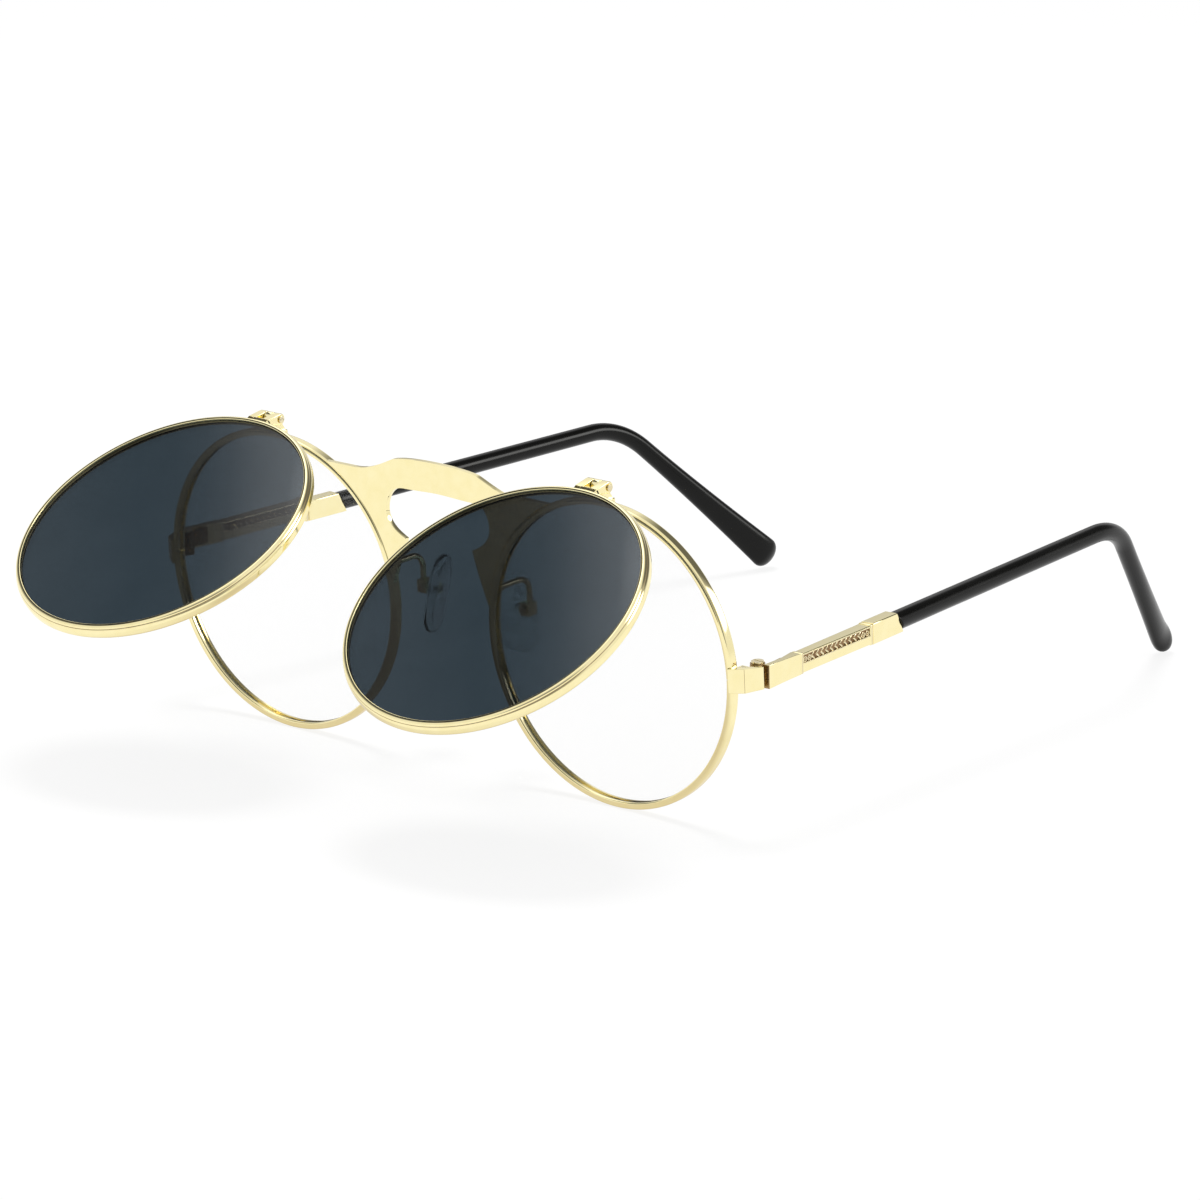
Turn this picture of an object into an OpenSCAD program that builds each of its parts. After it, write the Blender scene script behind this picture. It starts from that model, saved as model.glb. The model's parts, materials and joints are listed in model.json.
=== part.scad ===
// Round metal spectacles with flip-up dark lenses.
// The front faces -Y, the temples run to +Y, +X is the right hand side seen from the front.
// The part stands on its two rims and its two temple tips.

/* [Front] */
// Clear diameter of each eye rim
lens_d = 50; // [44:0.5:54]
// Radial thickness of the eye rim wire
rim_wall = 1.2; // [1:0.05:1.6]
// Depth of the eye rim wire, front to back
rim_depth = 2; // [1.8:0.1:2.6]
// Distance between the two eye rims at their nearest
bridge_gap = 21; // [18:0.5:24]
// Lean of the front, its top towards the viewer, in degrees
front_tilt = 4; // [0:0.5:8]

/* [Lenses] */
// Thickness of every lens
lens_t = 1.6; // [1.2:0.1:1.8]
// Depth of the groove that holds a lens in its rim
groove_depth = 0.5; // [0.3:0.05:0.7]
// Width of that groove
groove_w = 0.8; // [0.6:0.05:1]
// Rise of the lens centre over its edge
lens_sag = 0.9; // [0.3:0.1:1.2]

/* [Bridge] */
// Thickness of the bridge plate
bridge_t = 0.9; // [0.7:0.05:1.2]
// Height of the crown of the bridge over the tops of the eye rims
crown_over = 0.9; // [0:0.1:2]
// Height of the bar of the bridge, crown to nose opening
bridge_bar = 5.4; // [4:0.1:7]
// Half length of the raised crown, out to its cusp
crown_half = 9.3; // [8:0.1:10]
// Drop of the shoulders of the bridge below the tops of the eye rims
shoulder_drop = 2.7; // [2:0.1:4]
// How far the nose opening widens past the gap between the rims, each side
waist_out = 1.3; // [0.6:0.1:2]
// How far the tip of each nose leg reaches into the gap between the rims
leg_tip_in = 2.8; // [2:0.1:3.6]
// Height of those tips over the middle of the eye rims
leg_tip_z = 12.6; // [10:0.2:14]
// Height at which the legs end on the eye rims
leg_foot_z = 2.4; // [1:0.2:5]

/* [Flip lenses] */
// How far the flip rim reaches past the clear diameter of the eye rim
flip_over = 1.6; // [1.4:0.05:1.9]
// Radial thickness of the flip rim
flip_wall = 1.15; // [1:0.05:1.3]
// Depth of the flip rim, front to back
flip_depth = 2.4; // [2:0.1:3]
// Gap between a closed flip rim and its eye rim
flip_gap = 0.95; // [0.6:0.05:1.5]
// How far the left flip lens stands open, in degrees
flip_left_angle = 63; // [0:1:90]
// How far the right flip lens stands open, in degrees
flip_right_angle = 59; // [0:1:90]

/* [Flip hinges] */
// Height of the flip hinge axis over the top of its eye rim
flip_axis_over = 3.25; // [2.8:0.05:4]
// Distance of the flip hinge axis in front of the middle of the rim
flip_axis_fwd = 1.75; // [1.5:0.05:2.2]
// Diameter of the flip hinge knuckles
flip_knuckle_d = 2.2; // [2:0.1:2.8]
// Length of each of the three flip hinge knuckles
flip_knuckle_w = 1.5; // [1.3:0.1:2]
// Diameter of the flip hinge pin
flip_pin_d = 0.9; // [0.7:0.05:1.1]
// Diameter of the round ends of the flip hinge pin
flip_pin_head_d = 1.4; // [1.3:0.1:1.8]

/* [End pieces] */
// Height of the end piece at the rim
end_h = 4.2; // [3.8:0.1:5]
// Thickness of the bent strip of the end piece
end_t = 1; // [0.8:0.05:1.2]
// Height of the middle of the end piece and temple hinge over the rim centre
end_z = 0.6; // [0:0.1:2]
// Distance of the temple hinge axis outside the rim
hinge_out = 1.4; // [1:0.1:2]
// Distance of the temple hinge axis behind the middle of the rim
hinge_back = 4; // [3.6:0.1:5.5]
// Diameter of the temple hinge knuckles
knuckle_d = 2.5; // [2.2:0.1:2.8]
// Height of the stack of temple hinge knuckles
knuckle_stack = 4; // [3.6:0.1:4.6]
// Diameter of the temple hinge screw
hinge_screw_d = 1; // [0.8:0.05:1.2]
// Diameter of the head of the temple hinge screw
hinge_head_d = 2.1; // [1.8:0.1:2.4]
// Gap between the end piece and the temple that shows the hinge
end_short = 0.9; // [0.4:0.1:1.2]
// Width of the cut through the closed eye rim
rim_split = 0.2; // [0.1:0.05:0.4]
// Diameter of the screw that closes the eye rim
lock_screw_d = 0.8; // [0.7:0.05:1]

/* [Temples] */
// Height of the flat plate of the temple
plate_h = 4; // [3.4:0.1:4.6]
// Thickness of the flat plate of the temple
plate_t = 1.1; // [0.9:0.05:1.4]
// Length of the flat plate, from the hinge
plate_len = 8.4; // [7:0.2:12]
// Length of the ornamented barrel
ornament_len = 20.4; // [14:0.2:26]
// Height of the ornamented barrel
ornament_h = 3.6; // [3.2:0.1:4.2]
// Width of the ornamented barrel
ornament_w = 2.5; // [2.2:0.1:3]
// Number of bosses along the ornament
boss_count = 10; // [5:1:12]
// Length of the plain ferrule, along its lower edge
ferrule_len = 9; // [6:0.2:12]
// Height of the ferrule
ferrule_h = 3.7; // [3.4:0.1:4.2]
// Slant of the end of the ferrule, in degrees
ferrule_slant = 27; // [0:1:35]
// Distance from the hinge to the corner of the temple bend
bend_at = 106.5; // [95:0.5:115]
// Angle of the temple bend, in degrees
bend_angle = 46; // [35:1:60]
// Radius of the temple bend, at the middle of the sleeve
bend_r = 17; // [12:1:30]
// Roll of the bend towards the head, in degrees
bend_roll = 17; // [0:1:25]
// Angle of each temple towards the other, in degrees
toe_in = 4.9; // [0:0.1:7]
// Angle of each temple below square to the front, in degrees
droop = 1.8; // [0:0.1:4]
// Diameter of the black sleeve
sleeve_d = 3.3; // [3:0.1:4]
// Flare of the tip of the sleeve beyond its diameter
tip_flare = 2.4; // [1:0.1:3.5]
// Length over which the tip flares
tip_len = 20; // [12:0.5:24]
// Diameter of the core wire inside the sleeve
core_d = 1.4; // [1:0.1:1.8]

/* [Nose pads] */
// Height of a nose pad
pad_h = 14; // [12:0.5:16]
// Width of a nose pad, front to back
pad_w = 7; // [6:0.5:8]
// Thickness of a nose pad
pad_t = 1.8; // [1.4:0.1:2.2]
// Turn of a pad, its back edge away from the nose, in degrees
pad_splay = 20; // [10:1:28]
// Lean of a pad, its lower edge away from the nose, in degrees
pad_lean = 12; // [5:1:16]
// Diameter of the wire of the pad arm
pad_arm_d = 1; // [0.8:0.05:1.2]
// Height at which the pad arm leaves the eye rim
pad_arm_z = 6.6; // [6:0.2:8]
// Distance of the pad box behind the middle of the rim
pad_back = 8; // [7:0.2:10]
// Radius of the bend in the pad arm
pad_arm_bend = 2.5; // [2:0.1:3]
// Side of the small box that holds the pad
pad_box = 2.2; // [2:0.1:2.6]
// Diameter of the screw through the pad box
pad_screw_d = 0.8; // [0.6:0.05:0.9]

/* [Fits] */
// Gap left for solder or glue between pieces that are joined for good
seam = 0.03; // [0.02:0.01:0.05]
// Radial clearance of a pin in a knuckle that turns on it
run_fit = 0.04; // [0.02:0.01:0.08]
// Gap at the sides of a knuckle that turns
side_gap = 0.1; // [0.06:0.01:0.15]

/* [Hidden] */
$fn = 96;
cut_fn = 480;
spare = 1;
screw_slot_w = 0.2;
screw_slot_deep = 0.2;
gold = [0.93, 0.80, 0.50];
dark_gold = [0.72, 0.58, 0.32];
tint = [0.20, 0.25, 0.28, 0.9];
clear = [0.9, 0.95, 0.97, 0.35];
jet = [0.03, 0.03, 0.03];

// Eye rim
lens_r = lens_d / 2;
rim_r = lens_r + rim_wall;
rim_x = bridge_gap / 2 + rim_r;
rim_chamfer = 0.15;
groove_r = lens_r + groove_depth;
lens_play = 0.1;
lens_steps = 8;

// Flip rim and its hinge
flip_r = lens_r + flip_over;
flip_in = flip_r - flip_wall;
flip_groove_r = flip_in + 0.6 * groove_depth;
flip_axis_z = rim_r + flip_axis_over;
flip_mid_fwd = rim_depth / 2 + flip_gap + flip_depth / 2 - flip_axis_fwd;
flip_lip = 0.45;
flip_cut = 0.25;
flip_step = 0.4;
flip_cut_deep = 0.25;
flip_band = flip_depth / 2 - flip_lip - flip_cut;
flip_hinge_w = 3 * flip_knuckle_w + 2 * side_gap;
flip_pin_head_h = 0.2;
bracket_foot = 0.7;
bracket_dig = 0.5;
bracket_inset = 0.05;
bracket_step = 0.5;
neck_top_angle = 20;
neck_low_angle = 60;
neck_rise = 0.6;
foot_front = 0.3;
foot_back = 0.45;

// Temple hinge and end piece
knuckle_r = knuckle_d / 2;
hinge_x = rim_x + rim_r + hinge_out;
leaf_gap = 0.15;
plate_in = knuckle_r + leaf_gap;
plate_mid = plate_in + plate_t / 2;
plate_out = plate_in + plate_t;
knuckle_h = (knuckle_stack - 2 * side_gap) / 3;
hinge_head_h = 0.35;
end_taper = 0.4;
end_back_h = end_h - end_taper;
end_mitre = [-0.6, 0.8];
end_lap = 0.35;
end_proud = 0.54;
elbow_out = 1.9;
elbow = [rim_x + rim_r + elbow_out, 0];
elbow_in = elbow + end_t * end_mitre;
end_front = [rim_x + rim_r - end_lap, -rim_depth / 2 - end_proud];
plate_corner = [hinge_x + plate_out, hinge_back];
end_rear = plate_corner - (plate_corner - elbow) * end_short / hinge_back;
lock_h = 3.8;
lock_head_d = 1.2;
lock_head_h = 0.5;
lock_clear = 0.8;
lock_wall = 0.35;
lock_back = hinge_back - knuckle_r - lock_clear;
lock_x = rim_x + rim_r + lock_head_d / 2 + 2 * seam;
lock_y = lock_back - lock_wall - lock_screw_d / 2;
butt_gap = 0.15;
web_len = 1.5;
web_inset = 0.1;
leaf_short = 3;
leaf_h = 0.7 * knuckle_stack;

// Temple
ornament_at = plate_len;
ferrule_at = ornament_at + ornament_len;
sleeve_at = ferrule_at + ferrule_len;
sleeve_r = sleeve_d / 2;
core_r = core_d / 2;
bend_tangent = bend_r * tan(bend_angle / 2);
bend_start = bend_at - bend_tangent;
bend_end = [bend_start + bend_r * sin(bend_angle), bend_r * cos(bend_angle) - bend_r];
tip_end_r = 0.9 * sleeve_r;
bend_lap = 0.4;
bend_swell = 0.03;
core_short = 9;
tip_inset = 0.5;
tip_fn = 28;
tip_turn = 25;
tip_tuck = 0.08;
core_root = 1;
bead = 1.2;
bead_proud = 0.3;
bar_round = 0.6;
boss_d = 1.1;
boss_rise = 0.25;
panel_deep = 0.35;
panel_h = 0.36 * ornament_h;
panel_z = 0.16 * ornament_h;

// Nose pad
pad_arm_x = rim_x - sqrt(pow(lens_r + rim_wall / 2, 2) - pow(pad_arm_z, 2));
pad_box_drop = 3.1;
pad_box_in = 0.65;
pad_stem = 2.4;
pad_axis_z = pad_arm_z - pad_arm_bend - pad_box_drop;
pad_axis_x = pad_arm_x - pad_box_in;
pad_boss_r = 0.75;
pad_boss_w = 1.2;
pad_boss_gap = 0.1;
pad_box_deep = 2;
pad_fn = 32;
pad_edge = 0.45;
pad_face = 0.72;
pad_neck = 0.7;
pad_floor = 0.45;
pad_head_d = 1.8 * pad_screw_d;
pad_head_h = 0.4;

// Turns of a point about the three axes
function turn_x(p, a) = [p[0], p[1] * cos(a) - p[2] * sin(a), p[1] * sin(a) + p[2] * cos(a)];
function turn_y(p, a) = [p[0] * cos(a) + p[2] * sin(a), p[1], p[2] * cos(a) - p[0] * sin(a)];
function turn_z(p, a) = [p[0] * cos(a) - p[1] * sin(a), p[0] * sin(a) + p[1] * cos(a), p[2]];

// A point on the path of the sleeve, in the standing part before it is set on the table
function on_path(p) = turn_x(
    [hinge_x, hinge_back, end_z]
    + turn_z(turn_x(turn_y(p, bend_roll) + [plate_mid, 0, 0], -droop), toe_in), front_tilt);

// The rims set the height of the table, and the drop of each temple ends on it
origin_z = rim_r * cos(front_tilt) + rim_depth / 2 * sin(front_tilt);
drop_way = [0, cos(bend_angle), -sin(bend_angle)];
tip_wide = [-sin(tip_turn), cos(tip_turn) * sin(bend_angle), cos(tip_turn) * cos(bend_angle)];
tip_half = (sleeve_d + tip_flare) / 2 - tip_end_r;
drop_start = [0, bend_end[0], bend_end[1]];
low_start = on_path(drop_start - tip_half * tip_wide)[2];
drop_fall = on_path(drop_start + drop_way)[2] - on_path(drop_start)[2];
drop_len = (tip_end_r - origin_z - low_start) / drop_fall;
tip_at = drop_start + drop_len * drop_way;

// Front to back, the part is centred between the raised flips and the temple tips
flip_lean = front_tilt - max(flip_left_angle, flip_right_angle);
flip_hinge_at = turn_x([0, -flip_axis_fwd, flip_axis_z], front_tilt);
flip_edges = [
    [flip_r - flip_step, flip_depth / 2],
    [flip_r - rim_chamfer, flip_band],
    [flip_r, flip_band - rim_chamfer]];
reach_front = flip_hinge_at[1] + min(
    [for (e = flip_edges) turn_x([0, -flip_mid_fwd - e[1], -flip_axis_z - e[0]], flip_lean)[1]]);
reach_back = on_path(tip_at + tip_half * tip_wide)[1] + tip_end_r;
origin_y = -(reach_front + reach_back) / 2;

// A curve from four points, its first point left out
function curve(a, b, c, d, n) = [for (i = [1 : n]) let (t = i / n, u = 1 - t)
    u * u * u * a + 3 * u * u * t * b + 3 * u * t * t * c + t * t * t * d];

// Right half of the bridge, from the crown round to the nose opening
curve_n = 8;
crown_z = rim_r + crown_over;
open_z = crown_z - bridge_bar;
shoulder_z = rim_r - shoulder_drop;
crown_fall = 0.7;
waist_rise = 4.3;
corner_off = [4.2, 0.25];
cusp = [crown_half, crown_z - crown_fall];
rim_mid = rim_r - rim_wall / 2;
shoulder = [rim_x - sqrt(pow(rim_r, 2) - pow(shoulder_z, 2)), shoulder_z];
shoulder_in = [rim_x - sqrt(pow(rim_mid, 2) - pow(shoulder_z, 2)), shoulder_z];
foot_in = [rim_x - sqrt(pow(rim_mid, 2) - pow(leg_foot_z, 2)), leg_foot_z];
leg_tip = [bridge_gap / 2 - leg_tip_in, leg_tip_z];
waist = [bridge_gap / 2 + waist_out, leg_tip_z + waist_rise];
corner = [waist[0], open_z] - corner_off;

// How the outline of the bridge leaves and meets each of its points
crown_leave = [0.4 * crown_half, 0];
cusp_meet = [-2.3, 0.5];
cusp_leave = [2.7, -1.2];
shoulder_meet = [-9.9, 0];
shoulder_end = [-6.4, 0];
foot_leave = [-1.4, 3.6];
tip_meet = [0.9, -3.6];
tip_leave = [1.8, 0.8];
waist_meet = [-0.1, -2.3];
waist_leave = [0.05, 2.4];
corner_meet = [2.6, -0.05];
corner_leave = [-2.6, 0];
open_meet = [2.5, 0];
crown_top = [0, crown_z];
open_top = [0, open_z];
bridge_half = concat(
    [crown_top],
    curve(crown_top, crown_top + crown_leave, cusp + cusp_meet, cusp, curve_n),
    curve(cusp, cusp + cusp_leave, shoulder + shoulder_meet, shoulder + shoulder_end, curve_n),
    [shoulder_in, foot_in],
    curve(foot_in, foot_in + foot_leave, leg_tip + tip_meet, leg_tip, curve_n),
    curve(leg_tip, leg_tip + tip_leave, waist + waist_meet, waist, curve_n),
    curve(waist, waist + waist_leave, corner + corner_meet, corner, curve_n),
    curve(corner, corner + corner_leave, open_top + open_meet, open_top, curve_n));
last_point = len(bridge_half) - 1;
bridge_other_half = [for (i = [last_point - 1 : -1 : 1]) [-bridge_half[i][0], bridge_half[i][1]]];

// Frames that the pieces are drawn in
module on_table() {
    translate([0, origin_y, origin_z]) rotate([front_tilt, 0, 0]) children();
}

module on_side(side) {
    on_table() mirror([side < 0 ? 1 : 0, 0, 0]) children();
}

module on_rim(side) {
    on_side(side) translate([rim_x, 0, 0]) children();
}

module on_flip(side) {
    open = side < 0 ? flip_left_angle : flip_right_angle;
    on_rim(side) translate([0, -flip_axis_fwd, flip_axis_z]) rotate([-open, 0, 0]) children();
}

module on_hinge(side) {
    on_side(side) translate([hinge_x, hinge_back, end_z]) children();
}

module on_temple(side) {
    on_hinge(side) rotate([-droop, 0, toe_in]) translate([plate_mid, 0, 0]) children();
}

module on_pad(side) {
    on_side(side) translate([pad_axis_x, pad_back, pad_axis_z]) children();
}

// A ring or disc about the Y axis from a section of radius and distance forward
module revolve(section) {
    rotate([90, 0, 0]) rotate_extrude() polygon(section);
}

// What a piece brazed to a rim leaves free for it, from a distance behind the middle of the rim
module seat(r, from = -3 * rim_depth) {
    translate([0, from, 0]) rotate([-90, 0, 0]) cylinder(h = 6 * rim_depth, r = r + seam, $fn = cut_fn);
}

// A round bar along +Y
module bar(from, to, r) {
    translate([0, from, 0]) rotate([-90, 0, 0]) cylinder(h = to - from, r = r);
}

// A round bar along X, centred
module cross_bar(length, r) {
    rotate([0, 90, 0]) cylinder(h = length, r = r, center = true);
}

// A plate of a given width across X, from its outline in Y and Z
module cheek(w, outline) {
    translate([-w / 2, 0, 0]) rotate([90, 0, 90]) linear_extrude(w) polygon(outline);
}

// An upright bar with round corners, along +Y
module rounded_bar(from, to, w, h) {
    translate([0, to, 0]) rotate([90, 0, 0]) linear_extrude(to - from) {
        square([w, h - 2 * bar_round], center = true);
        square([w - 2 * bar_round, h], center = true);
        for (x = [-1, 1], z = [-1, 1])
            translate([x * (w / 2 - bar_round), z * (h / 2 - bar_round)]) circle(bar_round);
    }
}

// A round bar along a temple, from a start to a point short of the tip, a little fuller in the bend
module temple_path(from, r, short) {
    bar(from, bend_start + bend_lap, r);
    rotate([0, bend_roll, 0]) {
        translate([0, bend_start, -bend_r]) rotate([0, -90, 0])
            rotate_extrude(angle = bend_angle) translate([bend_r, 0]) circle(r + bend_swell);
        translate([0, bend_end[0], bend_end[1]]) rotate([-90 - bend_angle, 0, 0])
            translate([0, 0, -bend_lap]) cylinder(h = drop_len - short + bend_lap, r = r);
    }
}

// Everything behind the slanted end of the ferrule, pushed back by a gap
module behind_slant(gap) {
    reach = 2 * bend_at;
    translate([0, sleeve_at + gap, -ferrule_h / 2]) rotate([ferrule_slant, 0, 0])
        translate([-reach, 0, -reach]) cube([2 * reach, 2 * reach, 2 * reach]);
}

// A curved lens with a tongue round its edge
module lens(clear_r, edge_r) {
    body_r = clear_r - lens_play;
    rise = [for (i = [0 : lens_steps]) lens_sag * (1 - pow(i / lens_steps, 2))];
    radius = [for (i = [0 : lens_steps]) body_r * i / lens_steps];
    tongue = groove_w / 2 - seam;
    revolve(concat(
        [for (i = [0 : lens_steps]) [radius[i], lens_t / 2 + rise[i]]],
        [[body_r, tongue], [edge_r, tongue], [edge_r, -tongue], [body_r, -tongue]],
        [for (i = [lens_steps : -1 : 0]) [radius[i], rise[i] - lens_t / 2]]));
}

module bridge() {
    color(gold) on_table() translate([0, bridge_t - rim_depth / 2 + rim_chamfer, 0]) rotate([90, 0, 0])
        linear_extrude(bridge_t) difference() {
            polygon(concat(bridge_half, bridge_other_half));
            for (side = [-1, 1]) translate([side * rim_x, 0]) circle(rim_r + seam, $fn = cut_fn);
        }
}

module eye_rim(side) {
    half = rim_depth / 2;
    color(gold) on_rim(side) difference() {
        revolve([
            [lens_r, half], [rim_r - rim_chamfer, half], [rim_r, half - rim_chamfer],
            [rim_r, rim_chamfer - half], [rim_r - rim_chamfer, -half], [lens_r, -half],
            [lens_r, -groove_w / 2], [groove_r, -groove_w / 2],
            [groove_r, groove_w / 2], [lens_r, groove_w / 2]]);
        translate([lens_r - spare, -rim_depth, end_z - rim_split / 2])
            cube([rim_wall + 2 * spare, 2 * rim_depth, rim_split]);
    }
}

module clear_lens(side) {
    color(clear) on_rim(side) lens(lens_r, groove_r - seam);
}

// A bent strip in two facets, from the front of the rim back to the hinge
module end_piece(side) {
    color(gold) on_side(side) difference() {
        intersection() {
            translate([0, 0, end_z - end_h]) linear_extrude(2 * end_h) polygon([
                end_front, elbow, end_rear, end_rear - [end_t, 0], elbow_in,
                end_front + elbow_in - elbow]);
            translate([rim_x, 0, end_z]) rotate([90, 0, 90]) linear_extrude(2 * rim_r) polygon([
                [end_front[1] - spare, -end_h / 2], [elbow[1], -end_h / 2], [end_rear[1], -end_back_h / 2],
                [end_rear[1], end_back_h / 2], [elbow[1], end_h / 2], [end_front[1] - spare, end_h / 2]]);
        }
        translate([rim_x, 0, 0]) seat(rim_r, -rim_depth / 2 - seam);
    }
}

// The two lugs that close the split rim, in the corner of the end piece
module lock_outline() {
    slope = (elbow[1] - end_front[1]) / (elbow[0] - end_front[0]);
    start = end_front + elbow_in - elbow + [0, 2 * seam];
    corner_out = elbow_in + [-2 * seam, 2 * seam - 2 * seam * slope];
    polygon([start, corner_out, [corner_out[0], lock_back], [start[0], lock_back]]);
}

module rim_lock(side) {
    lug_h = (lock_h - rim_split) / 2;
    color(gold) on_side(side) difference() {
        for (z = [end_z + rim_split / 2, end_z - rim_split / 2 - lug_h])
            translate([0, 0, z]) linear_extrude(lug_h) lock_outline();
        translate([rim_x, 0, 0]) seat(rim_r);
        translate([lock_x, lock_y, end_z - lock_h])
            cylinder(h = 2 * lock_h, d = lock_screw_d + 2 * seam);
    }
}

module rim_lock_screw(side) {
    color(dark_gold) on_side(side) translate([lock_x, lock_y, end_z - lock_h / 2 - seam]) {
        cylinder(h = lock_h + seam, d = lock_screw_d);
        translate([0, 0, -lock_head_h]) difference() {
            cylinder(h = lock_head_h, d = lock_head_d);
            translate([-lock_head_d, -screw_slot_w / 2, -spare])
                cube([2 * lock_head_d, screw_slot_w, spare + screw_slot_deep]);
        }
    }
}

// Two knuckles on a web behind the end piece, the temple's knuckle turns between them
module front_hinge_leaf(side) {
    inner_rear = end_rear - [end_t + seam, 0];
    run = (inner_rear - elbow_in) / (inner_rear[1] - elbow_in[1]);
    web_front = inner_rear - run * web_len;
    mid = knuckle_h + 2 * side_gap;
    web_h = end_back_h - 2 * web_inset;
    color(gold) on_side(side) translate([0, 0, end_z]) difference() {
        union() {
            translate([hinge_x, hinge_back, -knuckle_stack / 2]) cylinder(h = knuckle_stack, r = knuckle_r);
            translate([0, 0, -web_h / 2]) linear_extrude(web_h) polygon([
                [hinge_x - knuckle_r * cos(45), hinge_back - knuckle_r * sin(45)],
                web_front - [seam, 0], inner_rear - [seam, seam], [hinge_x, hinge_back - seam]]);
        }
        translate([hinge_x, hinge_back, -mid / 2]) cylinder(h = mid, r = knuckle_r + leaf_gap);
        translate([hinge_x, hinge_back, -knuckle_stack])
            cylinder(h = 2 * knuckle_stack, d = hinge_screw_d + 2 * seam);
    }
}

module temple_hinge_screw(side) {
    color(dark_gold) on_hinge(side) translate([0, 0, -knuckle_stack / 2]) {
        cylinder(h = knuckle_stack + seam, d = hinge_screw_d);
        translate([0, 0, knuckle_stack + seam]) difference() {
            cylinder(h = hinge_head_h, d = hinge_head_d);
            translate([-hinge_head_d, -screw_slot_w / 2, hinge_head_h - screw_slot_deep])
                cube([2 * hinge_head_d, screw_slot_w, spare]);
        }
    }
}

module temple_hinge_leaf(side) {
    pad_from = knuckle_r + 2 * leaf_gap;
    pad_to = plate_len - leaf_short;
    pad_thick = plate_in / 2;
    color(gold) on_hinge(side) difference() {
        union() {
            translate([0, 0, -knuckle_h / 2]) {
                cylinder(h = knuckle_h, r = knuckle_r);
                rotate([0, 0, toe_in]) linear_extrude(knuckle_h) polygon([
                    [0, butt_gap], [plate_in - seam, butt_gap], [plate_in - seam, pad_to], [0, knuckle_r]]);
            }
            rotate([0, 0, toe_in]) translate([plate_in - seam - pad_thick, pad_from, -leaf_h / 2])
                cube([pad_thick, pad_to - pad_from, leaf_h]);
        }
        translate([0, 0, -knuckle_stack]) cylinder(h = 2 * knuckle_stack, d = hinge_screw_d + 2 * run_fit);
    }
}

// Flat plate at the hinge, and the core wire that carries everything behind it
module temple_bar(side) {
    color(gold) on_temple(side) {
        translate([plate_t / 2, 0, 0]) rotate([0, -90, 0]) linear_extrude(plate_t) polygon([
            [-plate_h / 2, butt_gap], [plate_h / 2, butt_gap],
            [ornament_h / 2, plate_len], [-ornament_h / 2, plate_len]]);
        temple_path(plate_len - core_root, core_r, core_short);
    }
}

// Barrel with a bead at each end and a sunk panel with a row of bosses on both faces
module temple_ornament(side) {
    first = ornament_at + seam;
    last = ferrule_at - seam;
    panel_from = first + bead;
    panel_len = ornament_len - 2 * bead;
    panel_low = panel_z - panel_h / 2;
    color(dark_gold) on_temple(side) difference() {
        union() {
            difference() {
                rounded_bar(first + bead / 2, last - bead / 2, ornament_w, ornament_h - bead_proud);
                for (face = [-1, 1])
                    translate([face * (ornament_w - panel_deep) - ornament_w / 2, panel_from, panel_low])
                    cube([ornament_w, panel_len, panel_h]);
            }
            rounded_bar(first, first + bead, ornament_w, ornament_h);
            rounded_bar(last - bead, last, ornament_w, ornament_h);
            for (i = [0 : boss_count - 1])
                translate([0, panel_from + panel_len * (i + 0.5) / boss_count, panel_low + panel_h / 2])
                    cross_bar(ornament_w - 2 * panel_deep + 2 * boss_rise, boss_d / 2);
        }
        bar(first - spare, last + spare, core_r + seam);
    }
}

module temple_ferrule(side) {
    color(gold) on_temple(side) difference() {
        rounded_bar(ferrule_at, sleeve_at + spare, ornament_w, ferrule_h);
        behind_slant(0);
        bar(ferrule_at - spare, sleeve_at + 2 * spare, core_r + seam);
    }
}

// Paddle at the end of the sleeve, turned about the drop
module sleeve_tip() {
    rotate([0, bend_roll, 0]) hull() {
        translate(tip_at - tip_len * drop_way) rotate([90 - bend_angle, 0, 0])
            cylinder(h = tip_inset, r = sleeve_r - tip_tuck, $fn = tip_fn);
        for (edge = [-1, 1]) translate(tip_at + edge * tip_half * tip_wide)
            sphere(r = tip_end_r, $fn = tip_fn);
    }
}

module temple_sleeve(side) {
    color(jet) on_temple(side) difference() {
        union() {
            intersection() {
                temple_path(ferrule_at, sleeve_r, tip_len);
                behind_slant(seam);
            }
            sleeve_tip();
        }
        temple_path(ferrule_at, core_r + seam, core_short - spare);
    }
}

// Wire from the back of the rim, bent down to the pad box
module pad_arm(side) {
    bend_y = pad_back - pad_arm_bend;
    foot = rim_depth / 2;
    color(gold) on_side(side) translate([pad_arm_x, 0, pad_arm_z]) {
        bar(foot + seam, bend_y, pad_arm_d / 2);
        translate([0, bend_y, -pad_arm_bend]) rotate([0, -90, 0])
            rotate_extrude(angle = 90) translate([pad_arm_bend, 0]) circle(d = pad_arm_d);
        translate([0, pad_back, pad_axis_z + pad_box / 2 + seam - pad_arm_z])
            cylinder(h = pad_arm_z - pad_axis_z - pad_box / 2 - seam - pad_arm_bend, d = pad_arm_d);
    }
}

// Small box, open to the nose, that takes the boss of the pad
module pad_box(side) {
    slot = pad_boss_w + 2 * pad_boss_gap;
    color(gold) on_pad(side) difference() {
        translate([-pad_boss_r, -pad_box / 2, -pad_box / 2]) cube([pad_box_deep, pad_box, pad_box]);
        translate([-pad_boss_r - spare, -slot / 2, -pad_boss_r - pad_boss_gap])
            cube([pad_box_deep + spare - pad_floor, slot, 2 * (pad_boss_r + pad_boss_gap)]);
        rotate([90, 0, 0]) cylinder(h = 2 * pad_box, d = pad_screw_d + 2 * seam, center = true);
    }
}

module pad_screw(side) {
    color(dark_gold) on_pad(side) {
        rotate([90, 0, 0]) cylinder(h = pad_box, d = pad_screw_d, center = true);
        translate([0, -pad_box / 2 - seam, 0]) rotate([90, 0, 0]) difference() {
            translate([0, 0, -seam]) cylinder(h = pad_head_h + seam, d = pad_head_d);
            translate([-pad_box, -screw_slot_w / 2, pad_head_h - screw_slot_deep])
                cube([2 * pad_box, screw_slot_w, spare]);
        }
    }
}

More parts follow.
